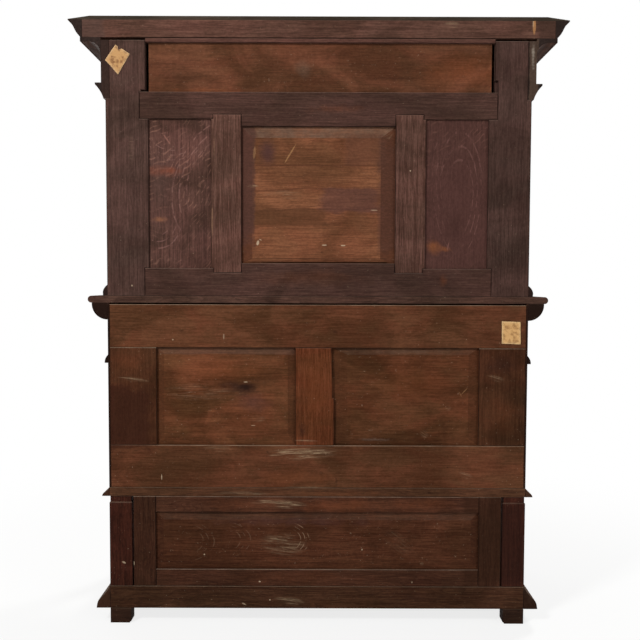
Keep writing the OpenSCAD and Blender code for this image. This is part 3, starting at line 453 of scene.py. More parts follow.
@dataclass(frozen=True)
class WoodFinish:
    """A stained wood: its colours, its figure and what age has done to it.

    The blemishes lie on the faces that look out of the back. The colours are of the stained and
    dusty surface, and a ring or ray is so many millimetres from the next. How much shows of the
    figure, the fibres, the mottle, the drift of hue, the pores, the specks, the worn arrises,
    the dust and the soot goes from nothing at 0 to all at 1.
    """

    name: str
    colour: str
    dark: str
    light: str
    figure: Figure = Figure.SLASH_SAWN
    ring: float = 6.0
    figured: float = 0.5
    fibre: float = 0.5
    mottle: float = 0.4
    hue: float = 0.15
    pore: float = 0.35
    speck: float = 0.3
    roughness: float = 0.75
    specular: float = 0.04
    coat: float = 0.0
    arris: str = "#6d5a4e"
    worn: float = 0.5
    dust: float = 0.4
    soot: float = 0.3
    relief: float = 0.25
    planks: tuple[Plank, ...] = ()
    marks: tuple[Mark, ...] = ()

    # share of the long fibres in the streaks, and the levels of the streaks between which they
    # turn light, show through blemishes and smooth the surface, by so much either way
    LONG, STREAKS, THROUGH, SMOOTHED, SMOOTHER = 0.4, (0.38, 0.62), (0.4, 0.6), (0.3, 0.7), 0.08
    # rings: the pith's tilt, how far noise pushes them in metres, the power that keeps late wood
    PITH_TILT, RING_PUSH, LATE_WOOD = 0.06, 0.09, 3.0
    # rays: where across the grain they bend and how much, how far noise pushes them in metres,
    # the half widths between which one fades, and how much of them a bare area keeps
    BEND_AT, BEND, RAY_PUSH, RAY_WIDTH, RAY_LEAST = 0.15, 3.6, 0.16, (0.05, 0.2), 0.2
    # planks, in metres: blur of a change of shade, half widths between which a line fades
    PLANK_BLUR, LINE_WIDTH = 0.0015, (0.0008, 0.0035)
    # parts of its normal between which a face counts as looking back, up or aside, as too steep
    # to hold soot, or an arris as looking up
    BACK, UP, ASIDE = (0.2, 0.6), (0.04, 0.22), (0.05, 0.15)
    STEEP, ARRIS_UP = (0.3, 0.5), (0.0, 0.3)
    # least share of loose dust, least share of rubbing, and how much painted shade darkens an
    # arris that looks down or aside
    DUST_LEAST, RUBBED_LEAST, DIRT = 0.55, 0.45, 0.9
    # how much of the open grain shows through the blemishes, and of the figure in the relief
    THROUGH_SHARE, FIGURE_RELIEF = 0.4, 0.25

    @cache
    def material(self) -> bpy.types.Material:
        """Build the material, once.

        Returns:
            The material.
        """
        made, put = started(self.name)
        grain, place = put(Node.GRAIN), put(Node.PLACE)
        fibres = self.fibres(put, grain)
        figure = (self.rays if self.figure is Figure.QUARTERED else self.rings)(put, grain)
        colour = self.stained(put, grain, place, fibres, figure)
        colour = self.aged(put, place, self.glued(put, place, colour))
        marked = colour
        for mark in self.marks:
            marked = mark.laid(put, place, marked)
        marked = self.grained(put, grain, fibres, marked)
        behind = put(Node.RAMP, put(Node.SECOND, put(Node.FACING)), *self.BACK)
        colour = put(Node.BLEND, behind, colour, marked) if self.marks else colour
        put(Node.SURFACE, self.surface(put, colour, fibres, figure))
        return made

    def fibres(self, put: Put, grain: Socket) -> Socket:
        """Draw the streaks of the fibres: long soft ones, and short crisp ones between them.

        Args:
            put: adds a node.
            grain: coordinates with the run of the grain first.

        Returns:
            The streaks.
        """
        soft = put(Node.TIMES, Pattern.LONG_FIBRES.on(put, grain), self.LONG)
        crisp = put(Node.TIMES, Pattern.SHORT_FIBRES.on(put, grain), 1 - self.LONG)
        return put(Node.SUM, soft, crisp)

    def rings(self, put: Put, grain: Socket) -> Socket:
        """Draw growth rings round a tilted pith.

        A ring's place is the distance to the pith over the ring's width, pushed about by noise;
        its darkness is the cube of the part after the point, which is the late wood.

        Args:
            put: adds a node.
            grain: coordinates with the run of the grain first.

        Returns:
            The darkness of the rings.
        """
        tilt = put(Node.TIMES, put(Node.FIRST, grain), self.PITH_TILT)
        across, deep = put(Node.SUM, put(Node.SECOND, grain), tilt), put(Node.THIRD, grain)
        square = put(Node.SUM, put(Node.TIMES, across, across), put(Node.TIMES, deep, deep))
        push = put(Node.TIMES, Pattern.RING_WANDER.on(put, grain), self.RING_PUSH)
        count = put(Node.TIMES, put(Node.SUM, put(Node.ROOT, square), push), MM / self.ring)
        return put(Node.POWER, put(Node.PART, count), self.LATE_WOOD)

    def rays(self, put: Put, grain: Socket) -> Socket:
        """Draw silver rays of quartered oak: short ribbons that lie across the grain.

        A ribbon lies where the way along the grain, less a bend that grows as the square of the
        way across and a slow wander, falls near evenly spaced levels. Noise breaks it into
        dashes and leaves whole areas bare.

        Args:
            put: adds a node.
            grain: coordinates with the run of the grain first.

        Returns:
            The brightness of the rays.
        """
        across = put(Node.LESS, self.BEND_AT, put(Node.SECOND, grain))
        bend = put(Node.TIMES, put(Node.TIMES, across, across), self.BEND)
        wander = put(Node.TIMES, Pattern.RAY_WANDER.on(put, grain), self.RAY_PUSH)
        place = put(Node.LESS, put(Node.SUM, put(Node.FIRST, grain), wander), bend)
        level = put(Node.PART, put(Node.TIMES, place, MM / self.ring))
        off = put(Node.SIZE, put(Node.LESS, level, 0.5))
        near = put(Node.RAMP, off, *self.RAY_WIDTH, 1.0, 0.0)
        lying = Pattern.RAY_FIELDS.share(put, grain, self.RAY_LEAST)
        return put(Node.TIMES, put(Node.TIMES, near, Pattern.RAY_DASHES.share(put, grain)), lying)

    def stained(self, put: Put, grain: Socket, place: Socket, fibres: Socket,
                figure: Socket) -> Socket:
        """Colour the stained board, with its figure, streaks, pores, blotches and own shade.

        Args:
            put: adds a node.
            grain: coordinates with the run of the grain first.
            place: the object's own coordinates.
            fibres: the streaks of the fibres.
            figure: the rings or the rays.

        Returns:
            The colour.
        """
        dark = linear(self.dark)
        light = put(Node.RAMP, fibres, *self.STREAKS)
        streaks = put(Node.BLEND, light, dark, linear(self.light))
        colour = put(Node.BLEND, self.fibre, linear(self.colour), streaks)
        over = linear(self.light if self.figure is Figure.QUARTERED else self.dark)
        colour = put(Node.BLEND, put(Node.TIMES, figure, self.figured), colour, over)
        pores = Pattern.PORES.share(put, grain, 0.0, self.pore)
        colour = put(Node.BLEND, pores, colour, dark)
        for pattern, share, tones in ((Pattern.BLOTCHES, self.mottle, BLOTCH_TONES),
                                      (Pattern.HUE_DRIFT, self.hue, HUE_TONES)):
            tone = put(Node.BLEND, pattern.share(put, place), *map(linear, tones))
            colour = put(Node.OVERLAY, share, colour, tone)
        colour = put(Node.BLEND, put(Node.TIMES, put(Node.END), END_GRAIN_SHARE), colour, dark)
        return put(Node.SHADED, put(Node.BOARD), colour)

    def glued(self, put: Put, place: Socket, colour: Socket) -> Socket:
        """Shade the planks of a glued-up board one by one, with a dark line where two meet.

        Below its level, which waves with a broad noise, a plank changes the shade by the
        difference to the plank above it.

        Args:
            put: adds a node.
            place: the object's own coordinates.
            colour: the board's colour.

        Returns:
            The colour with its planks.
        """
        if not self.planks:
            return colour
        height = put(Node.THIRD, place)
        shade, before = 1.0, 1.0
        for plank in self.planks:
            noise = put(Node.LESS, Pattern.PLANK_WAVE.on(put, place), 0.5)
            level = put(Node.SUM, height, put(Node.TIMES, noise, plank.wave / MM))
            off = put(Node.LESS, level, plank.level / MM)
            blur = (-self.PLANK_BLUR, self.PLANK_BLUR)
            below = put(Node.RAMP, off, *blur, plank.shade - before, 0.0)
            shade, before = put(Node.SUM, shade, below), plank.shade
            near = put(Node.RAMP, put(Node.SIZE, off), *self.LINE_WIDTH, plank.line, 0.0)
            colour = put(Node.BLEND, near, colour, linear(self.dark))
        return put(Node.SHADED, shade, colour)

    def aged(self, put: Put, place: Socket, colour: Socket) -> Socket:
        """Lay dust on what faces up, soot on side slopes, specks all over and wear on arrises.

        Arrises that look up are rubbed pale; those that look down or aside take a dark painted
        shade.

        Args:
            put: adds a node.
            place: the object's own coordinates.
            colour: the clean board's colour.

        Returns:
            The colour of the aged board.
        """
        facing = put(Node.FACING)
        up, aside = put(Node.THIRD, facing), put(Node.SIZE, put(Node.FIRST, facing))
        loose = Pattern.LOOSE_DUST.share(put, place, self.DUST_LEAST)
        lying = put(Node.TIMES, put(Node.RAMP, up, *self.UP, 0.0, self.dust), loose)
        colour = put(Node.BLEND, lying, colour, linear(DUST.value[1]))
        sooty = put(Node.TIMES, put(Node.RAMP, aside, *self.ASIDE, 0.0, self.soot),
                    put(Node.RAMP, aside, *self.STEEP, 1.0, 0.0))
        colour = put(Node.BLEND, sooty, colour, linear(self.dark))
        specks = Pattern.SPECKS.share(put, place, 0.0, self.speck)
        colour = put(Node.BLEND, specks, colour, linear(FLECK.value[1]))
        # arrises that look down or aside are darkened with painted shade, the dark line where parts
        # meet; arrises that look up are rubbed pale
        over = put(Node.RAMP, up, *self.ARRIS_UP)
        tone = put(Node.BLEND, over, linear(ARRIS_PAINTED_SHADE), linear(self.arris))
        share = put(Node.TIMES, Pattern.RUBBING.share(put, place, self.RUBBED_LEAST),
                    put(Node.RAMP, over, 0.0, 1.0, self.DIRT, self.worn))
        return put(Node.BLEND, put(Node.TIMES, put(Node.ARRIS), share), colour, tone)

    def grained(self, put: Put, grain: Socket, fibres: Socket, colour: Socket) -> Socket:
        """Let the grain show through the blemishes, in cells coarse enough to show.

        Args:
            put: adds a node.
            grain: coordinates with the run of the grain first.
            fibres: the streaks of the fibres.
            colour: the colour with the blemishes.

        Returns:
            The colour with the grain over it.
        """
        cellular = put(Node.TIMES, Pattern.OPEN_GRAIN.on(put, grain), 1 - self.LONG)
        open_grain = put(Node.SUM, put(Node.TIMES, fibres, self.LONG), cellular)
        share = put(Node.RAMP, open_grain, *self.THROUGH)
        tone = put(Node.BLEND, share, *map(linear, GRAIN_TONES))
        return put(Node.OVERLAY, self.THROUGH_SHARE, colour, tone)

    def surface(self, put: Put, colour: Socket, fibres: Socket, figure: Socket) -> Socket:
        """Make the shader: a dull or polished coat over wood that the fibres roughen.

        Args:
            put: adds a node.
            colour: the board's colour.
            fibres: the streaks of the fibres.
            figure: the rings or the rays.

        Returns:
            The shader.
        """
        height = put(Node.SUM, fibres, put(Node.TIMES, figure, self.FIGURE_RELIEF))
        bump = put(Node.RELIEF, height, self.relief, RELIEF_DEPTH)
        most, least = self.roughness + self.SMOOTHER, self.roughness - self.SMOOTHER
        rough = put(Node.RAMP, fibres, *self.SMOOTHED, most, least)
        return put(Node.STAINED, colour, rough, bump, self.specular, self.coat, COAT_ROUGHNESS)


@dataclass(frozen=True)
class MetalFinish:
    """Cast and filed brass: yellow where hands polish it, brown and duller in the hollows.

    Its tarnish lies in clouds of so many millimetres, with so many finer layers. It sets in
    between the levels tarnished and roughens the brass between the levels roughened.
    """

    name: str = "aged cast brass"
    colour: str = "#a07c3e"
    dull: str = "#5d4727"
    cloud: float = 6.25
    layers: float = 4.0
    tarnished: tuple[float, float] = (0.4, 0.62)
    roughened: tuple[float, float] = (0.35, 0.7)
    roughness: tuple[float, float] = (0.3, 0.55)

    @cache
    def material(self) -> bpy.types.Material:
        """Build the material.

        Returns:
            The material.
        """
        made, put = started(self.name)
        cloud = put(Node.CLOUD, put(Node.PLACE), MM / self.cloud, self.layers)
        tarnish = put(Node.RAMP, cloud, *self.tarnished)
        colour = put(Node.BLEND, tarnish, linear(self.colour), linear(self.dull))
        rough = put(Node.RAMP, cloud, *self.roughened, *self.roughness)
        put(Node.SURFACE, put(Node.METAL, colour, rough, 1.0))
        return made


@dataclass(frozen=True)
class MirrorFinish:
    """Silvered plate glass: clear and even, with faint dull spots where the silver has foxed.

    The spots are of so many millimetres, with so many finer layers, and set in between the
    levels foxed.
    """

    name: str = "silvered plate glass"
    silver: str = "#dfe3e2"
    foxing: str = "#6b645a"
    spot: float = 26.316
    layers: float = 7.0
    foxed: tuple[float, float] = (0.68, 0.75)
    roughness: tuple[float, float] = (0.03, 0.4)

    @cache
    def material(self) -> bpy.types.Material:
        """Build the material.

        Returns:
            The material.
        """
        made, put = started(self.name)
        cloud = put(Node.CLOUD, put(Node.PLACE), MM / self.spot, self.layers)
        spots = put(Node.RAMP, cloud, *self.foxed)
        colour = put(Node.BLEND, spots, linear(self.silver), linear(self.foxing))
        rough = put(Node.RAMP, spots, 0.0, 1.0, *self.roughness)
        put(Node.SURFACE, put(Node.METAL, colour, rough, 1.0))
        return made


@dataclass(frozen=True)
class PaperFinish:
    """Old gummed paper: brown and fibrous, paler where its rim has worn, stained but blank.

    Its stains and its bundles of fibres have their sizes in millimetres, their finer layers and
    the levels between which they set in. Single fibres are much finer and wouldn't show. The
    bundles and the worn rim take so much of the pale colour.
    """

    name: str
    colour: str
    brown: str
    pale: str
    stain: float = 13.3333
    stain_layers: float = 5.0
    stained: tuple[float, float] = (0.44, 0.62)
    bundle: float = 2.38095
    bundle_layers: float = 3.0
    bundled: tuple[float, float] = (0.5, 0.75)
    paler: float = 0.5
    relief: float = 0.2
    relief_depth: float = 0.0004
    roughness: float = 0.85
    specular: float = 0.1

    @cache
    def material(self) -> bpy.types.Material:
        """Build the material.

        Returns:
            The material.
        """
        made, put = started(self.name)
        place = put(Node.PLACE)
        cloud = put(Node.CLOUD, place, MM / self.stain, self.stain_layers)
        fibre = put(Node.CLOUD, place, MM / self.bundle, self.bundle_layers)
        stains = put(Node.RAMP, cloud, *self.stained)
        colour = put(Node.BLEND, stains, linear(self.colour), linear(self.brown))
        bundles = put(Node.RAMP, fibre, *self.bundled, 0.0, self.paler)
        for share in (bundles, put(Node.TIMES, put(Node.RIM), self.paler)):
            colour = put(Node.BLEND, share, colour, linear(self.pale))
        bump = put(Node.RELIEF, fibre, self.relief, self.relief_depth)
        put(Node.SURFACE, put(Node.STAINED, colour, self.roughness, bump, self.specular))
        return made


def solids_of(edges: np.ndarray, count: int) -> np.ndarray:
    """Number the separate solids of a mesh.

    Each point takes the lowest number among its neighbours until nothing changes.

    Args:
        edges: pairs of point numbers.
        count: number of points.

    Returns:
        For each point, the number of its solid.
    """
    label = np.arange(count)
    while True:
        low = np.minimum(label[edges[:, 0]], label[edges[:, 1]])
        spread = label.copy()
        np.minimum.at(spread, edges[:, 0], low)
        np.minimum.at(spread, edges[:, 1], low)
        spread = spread[spread]
        if np.array_equal(spread, label):
            return np.unique(label, return_inverse=True)[1]
        label = spread


def pulled(items: bpy.types.bpy_prop_collection, name: str, width: int = 1,
           kind: type = float) -> np.ndarray:
    """Read one property of all items of a mesh.

    Args:
        items: its vertices, edges, loops or polygons.
        name: the property.
        width: how many values an item has.
        kind: the values' type.

    Returns:
        The values, a row for each item where an item has more than one.
    """
    values = np.zeros(len(items) * width, kind)
    items.foreach_get(name, values)
    return values.reshape(-1, width) if width > 1 else values


def store(mesh: bpy.types.Mesh, name: str, domain: str, values: np.ndarray) -> None:
    """Keep values as an attribute of a mesh.

    Args:
        mesh: the mesh.
        name: the attribute's name.
        domain: POINT or FACE.
        values: one value or vector for each point or face.
    """
    kind, part = ("FLOAT_VECTOR", "vector") if values.ndim > 1 else ("FLOAT", "value")
    layer = mesh.attributes.new(name, kind, domain)
    layer.data.foreach_set(part, np.ascontiguousarray(values, np.float32).ravel())


def placed(name: str, data: bpy.types.ID) -> bpy.types.Object:
    """Add an object to the scene.

    Args:
        name: its name.
        data: its mesh, light or camera.

    Returns:
        The object.
    """
    made = bpy.data.objects.new(name, data)
    bpy.context.scene.collection.objects.link(made)
    return made


@dataclass
class Joiner:
    """Carries the wooden nodes over as eased copies and dresses them.

    Lengths are in metres and angles in degrees. A face counts as one of the back where the
    share of its normal that looks backwards is over facing, and as end grain where the share
    along the grain is over end_on. A board's shade is drawn within spread of one, and the
    place it was cut from lies between the two shifts.
    """

    seed: int = 7
    merged_within: float = 2e-5
    flat_under: float = 0.8
    sharp_over: float = 38.0
    roundness: float = 0.6
    smooth_under: float = 26.0
    rear_reach: float = 0.08
    facing: float = 0.9
    end_on: float = 0.8
    spread: float = 0.05
    least_shift: tuple[float, float, float] = (-3, 0.01, 0.03)
    most_shift: tuple[float, float, float] = (3, 0.07, 0.12)

    def eased(self, node: str, finish: WoodFinish, ease: Ease, shades: tuple[Shade, ...] = (),
              turned: bool = False, rear: WoodFinish | None = None) -> None:
        """Copy a node with its arrises taken off and its grain kept on it.

        Its points are the node's own, merged, and its sharp edges are planed off by ease. Each
        solid's longest side is the run of its grain: the grain coordinates are the point's own
        coordinates with that axis first, shifted by an amount drawn for each solid.

        Args:
            node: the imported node.
            finish: its finish.
            ease: how far its arrises are worn.
            shades: shades that are fixed and not drawn.
            turned: whether the piece is turned or moulded, and so is shaded smoothly.
            rear: the finish of the raw faces that look out of the back, where it differs.
        """
        source = frame["nodes"][node]
        mesh = source.data.copy()
        mesh.name = f"{node}_wood"
        mesh.materials.clear()
        self.plane(mesh, ease.value)
        self.grain(mesh, node, shades)
        arrises = pulled(mesh.polygons, "material_index", 1, np.int32) == 1
        store(mesh, "arris", "FACE", arrises.astype(float))
        mesh.materials.append(finish.material())
        normals, middles = (pulled(mesh.polygons, name, 3) for name in ("normal", "center"))
        raw = (normals[:, 1] > self.facing) & (middles[:, 1] > BACK_Y - self.rear_reach)
        if rear:
            mesh.materials.append(rear.material())
        mesh.polygons.foreach_set("material_index", (raw & (rear is not None)).astype(np.int32))
        if turned:
            mesh.shade_smooth()
            mesh.set_sharp_from_angle(angle=math.radians(self.smooth_under))
        piece = placed(f"{node}_wood", mesh)
        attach(piece, source["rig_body"])
        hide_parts(node)
        log.info("%s: %d faces", piece.name, len(mesh.polygons))

    def plane(self, mesh: bpy.types.Mesh, ease: float) -> None:
        """Merge a mesh's loose triangles and plane off its arrises, whose faces it marks.

        Args:
            mesh: the mesh.
            ease: width that is planed off each arris, in metres.
        """
        shaped = bmesh.new()
        shaped.from_mesh(mesh)
        bmesh.ops.remove_doubles(shaped, verts=shaped.verts, dist=self.merged_within)
        bmesh.ops.dissolve_limit(shaped, angle_limit=math.radians(self.flat_under),
                                 verts=shaped.verts, edges=shaped.edges)
        if ease > 0:
            sharp = [edge for edge in shaped.edges if len(edge.link_faces) == 2
                     and edge.calc_face_angle(0) > math.radians(self.sharp_over)]
            bmesh.ops.bevel(shaped, geom=sharp, offset=ease, segments=2, profile=self.roundness,
                            affect="EDGES", clamp_overlap=False, material=1)
        shaped.to_mesh(mesh)
        shaped.free()

    def grain(self, mesh: bpy.types.Mesh, node: str, shades: tuple[Shade, ...]) -> None:
        """Give each solid of a mesh the run of its grain, its end grain and its own shade.

        Args:
            mesh: the mesh.
            node: its name, which with the seed decides the draw.
            shades: shades that are fixed and not drawn.
        """
        places = pulled(mesh.vertices, "co", 3)
        solids = solids_of(pulled(mesh.edges, "vertices", 2, np.int64), len(places))
        draw = np.random.default_rng(self.seed + sum(map(ord, node)))
        runs, shade = np.zeros_like(places), np.ones(len(places))
        firsts = np.zeros(len(places), np.int64)
        for solid in range(solids.max() + 1):
            own = solids == solid
            low, high = places[own].min(0), places[own].max(0)
            middle = (low + high) / 2
            first = int(np.argmax(high - low))
            order = [first, (first + 1) % 3, (first + 2) % 3]
            shift = draw.uniform(self.least_shift, self.most_shift)
            runs[own] = (places[own] - middle)[:, order] + shift
            shade[own] = 1 + draw.uniform(-self.spread, self.spread)
            for x, z, reach, fixed in shades:
                if math.hypot(middle[0] - x, middle[2] - z) < reach:
                    shade[own] = fixed
            firsts[own] = first
        store(mesh, "grain", "POINT", runs)
        store(mesh, "board", "POINT", shade)
        starts = pulled(mesh.polygons, "loop_start", 1, np.int64)
        corners = pulled(mesh.loops, "vertex_index", 1, np.int64)
        normals = np.abs(pulled(mesh.polygons, "normal", 3))
        along = normals[np.arange(len(starts)), firsts[corners[starts]]]
        store(mesh, "end", "FACE", (along > self.end_on).astype(float))

    def dress(self, node: str, finish: MetalFinish | MirrorFinish) -> None:
        """Give a node that keeps its own solid a better material.

        Args:
            node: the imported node.
            finish: its finish.
        """
        mesh = frame["nodes"][node].data
        mesh.materials.clear()
        mesh.materials.append(finish.material())
        log.info("%s: dressed", node)


@dataclass
class Labels:
    """Two blank paper labels, pasted on the back a little askew.

    Lengths are in metres. A sheet is worked out in shares of its sides: its rows of points
    wander sideways a little, its torn edge is bitten in, and its lift has an even part and a
    waving one, which grow as a power of the nearness to the rim.
    """

    # aged wood-pulp paper, gummed by hand: brown and matt, the one on the case less browned
    stile_paper: PaperFinish = PaperFinish("browned gummed paper", "#b08658", "#7f5939", "#cdb088")
    case_paper: PaperFinish = PaperFinish("paler gummed paper", "#c99c66", "#a0764a", "#dcc194")
    on_stile: Corners = ((0.662, 1.921), (0.615, 1.892), (0.654, 1.825), (0.696, 1.872))
    on_case: Corners = ((-0.6095, 1.0235), (-0.6715, 1.0215), (-0.673, 0.947), (-0.6105, 0.949))
    torn: float = 0.13
    bitten_at: float = 0.30
    thick: float = 0.0004
    lift: float = 0.0011
    paste: float = 0.0003
    rows: int = 28
    wander: float = 0.0036
    bite_depth: float = 1.1
    even_lift: float = 0.35
    waving_lift: float = 0.3
    curl_power: int = 6
    worn_power: int = 10
    merged_within: float = 1e-7

    def build(self) -> None:
        """Make the torn label on the mirror back's stile and the one on the case."""
        self.label("label_on_stile", self.on_stile, self.stile_paper, self.torn)
        self.label("label_on_case", self.on_case, self.case_paper, 0.0)

    def label(self, name: str, corners: Corners, paper: PaperFinish, torn: float) -> None:
        """Make one label.

        Its point (u, v) blends the four corners two ways, after sines of u and v have moved it
        sideways. The sheet lifts off the wood by other sines and more towards its edges, and a
        bite of radius torn leaves one edge.

        Args:
            name: the piece's name.
            corners: four corners, as x and z.
            paper: its finish.
            torn: radius of the bite, as a share of the label's side.
        """
        n = self.rows
        u, v = np.meshgrid(np.linspace(0, 1, n), np.linspace(0, 1, n))
        a, b, c, d = (np.array(corner) for corner in corners)
        wave = self.wander * np.sin(9 * u + 4 * v) * np.sin(7 * v + 1)
        across, down = u + wave * (1 - 2 * u), v + wave * (1 - 2 * v)
        bite = np.clip(torn - np.hypot(across - self.bitten_at, down), 0, None) if torn else 0.0
        down = down + bite * (1 - down) * self.bite_depth
        flat = ((1 - across) * (1 - down))[..., None] * a + (across * (1 - down))[..., None] * b
        flat = flat + (across * down)[..., None] * c + ((1 - across) * down)[..., None] * d
        rim = np.maximum(np.abs(2 * u - 1), np.abs(2 * v - 1))
        waving = self.waving_lift * np.sin(5 * u + 3 * v) * np.sin(4 * v)
        curl = (self.even_lift + waving) * rim ** self.curl_power
        y = BACK_Y + self.paste + self.lift * curl
        top = np.stack([flat[..., 0], y + self.thick, flat[..., 1]], -1).reshape(-1, 3)
        under = np.stack([flat[..., 0], y, flat[..., 1]], -1).reshape(-1, 3)
        corner = (np.arange(n - 1)[:, None] * n + np.arange(n - 1)).ravel()
        quads = np.stack([corner, corner + 1, corner + n + 1, corner + n], -1)
        loop = np.concatenate([np.arange(n - 1), n * np.arange(1, n) - 1,
                               n * n - 1 - np.arange(n - 1), n * (n - 1) - n * np.arange(n - 1)])
        after = np.roll(loop, -1)
        walls = np.stack([loop, loop + n * n, after + n * n, after], -1)
        mesh = bpy.data.meshes.new(name)
        mesh.from_pydata(np.concatenate([top, under]).tolist(), [],
                         np.concatenate([quads, quads[:, ::-1] + n * n, walls]).tolist())
        shaped = bmesh.new()
        shaped.from_mesh(mesh)
        bmesh.ops.remove_doubles(shaped, verts=shaped.verts, dist=self.merged_within)
        bmesh.ops.recalc_face_normals(shaped, faces=shaped.faces)
        shaped.to_mesh(mesh)
        shaped.free()
        mesh.shade_smooth()
        share = np.resize(np.tile(rim.ravel() ** self.worn_power, 2), len(mesh.vertices))
        store(mesh, "rim", "POINT", share)
        mesh.materials.append(paper.material())
        piece = placed(name, mesh)
        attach(piece, CARCASE)
        log.info("%s: %d faces", name, len(mesh.polygons))


@dataclass
class Stand:
    """Feet, plinth and open stand, whose frames stand dark under the case."""

    # slash-sawn oak, planed and waxed: dull brown with dust and pale rubbed edges
    plinth_oak: WoodFinish = WoodFinish(
        "waxed plinth oak", "#482c1d", "#25160f", "#503626", ring=7, speck=0.4, arris="#7c6a58",
        dust=0.3, marks=(
            Mark(SCUFF, 95, 77, 60, 16, 0.6, 0.1), Mark(FLECK, 246, 66, 10, 3, 0.5, 0.5),
            Mark(FLECK, 159, 80, 3, 3, 0.7), Mark(BAND, 725, 87, 30, 45, 0.3, tone="#4a3022"),
            Mark(STAIN, -344, 87, 120, 20, 0.3)))
    # oak posts and legs, waxed: dark red-brown, almost without figure
    post_oak: WoodFinish = WoodFinish(
        "waxed post oak", "#3d1f17", "#24120d", "#512b1f", mottle=0.35, speck=0.4, arris="#6b5244",
        dust=0.25, marks=(
            Mark(FLECK, 650, 207, 8, 4, 0.6, 0.4),
            Mark(BAND, -652, 269, 50, 150, 0.6, tone="#281510")))
    # oak frame under a thin dark stain: fine straight streaks, pale worn edges
    stile_oak: WoodFinish = WoodFinish(
        "stained stand oak", "#402519", "#291811", "#513426", ring=7, speck=0.4, arris="#7d6a5b",
        worn=0.8, dust=0.3, marks=(
            Mark(WARM, 228, 405, 260, 40, 0.2), Mark(WARM, -57, 401, 200, 40, 0.4),
            Mark(WARM, -308, 405, 230, 40, 0.25), Mark(SCUFF, 128, 408, 105, 18, 0.75, 0.05),
            Mark(WARM, 94, 156, 420, 40, 0.12),
            Mark(BAND, -558, 282, 70, 160, 0.55, tone="#2b190f"), Mark(FLECK, 616, 204, 2, 9, 0.8),
            Mark(FLECK, 193, 143, 4, 3, 0.8), Mark(FLECK, -320, 142, 2, 4, 0.6)))
    # quarter-sawn oak, planed and stained: redder, with curved scratches
    panel_oak: WoodFinish = WoodFinish(
        "quartered stand panel", "#472819", "#301a12", "#5f3c29", Figure.QUARTERED, ring=26,
        figured=0.15, fibre=0.4, mottle=0.45, speck=0.4, arris="#6f5d4f", dust=0.2, marks=(
            Mark(BLOOM, 94, 347, 420, 22, 0.45), Mark(SWIRL, 464, 282, 130, 80, 0.28, 0.05),
            Mark(SWIRL, 333, 282, 120, 72, 0.32, -0.06), Mark(SWIRL, 118, 286, 100, 70, 0.8, 0.03),
            Mark(SCUFF, 114, 269, 90, 45, 0.5, 0.1), Mark(SCUFF, -275, 275, 70, 40, 0.1, 0.6),
            Mark(SCUFF, -353, 204, 8, 8, 0.8), Mark(FLECK, 380, 234, 3, 3, 0.7),
            Mark(FLECK, -151, 252, 3, 4, 0.6, 0.3)))
    # oak that stands on the floor: nearly black with dirt and without shine
    foot_oak: WoodFinish = WoodFinish(
        "dark foot oak", "#39251c", "#1c110d", "#3d291e", fibre=0.45, mottle=0.3, speck=0.4,
        arris="#574536", dust=0.2)
    # the feet under the two posts
    foot_shades: tuple[Shade, ...] = ((0.65, 0.04, 0.12, 1.13), (-0.65, 0.04, 0.12, 0.86))
    # the upper and the lower rail, lighter than the stiles
    rail_shades: tuple[Shade, ...] = ((0.0, 0.406, 0.12, 1.25), (0.0, 0.156, 0.12, 1.12))

    def build(self, joiner: Joiner) -> None:
        """Dress the base and the stand.

        Args:
            joiner: carries the wooden nodes over.
        """
        joiner.eased("feet", self.foot_oak, Ease.ROUNDED, self.foot_shades, turned=True)
        joiner.eased("plinth_rails", self.plinth_oak, Ease.ROUNDED)
        joiner.eased("pot_board", self.plinth_oak, Ease.ROUNDED)
        joiner.eased("plinth_moulding", self.plinth_oak, Ease.SOFT, turned=True)
        joiner.eased("rear_posts", self.post_oak, Ease.WORN)
        joiner.eased("front_legs", self.post_oak, Ease.TURNED, turned=True)
        joiner.eased("stand_back_frame", self.stile_oak, Ease.WORN, self.rail_shades)
        joiner.eased("stand_back_panel", self.panel_oak, Ease.SOFT)


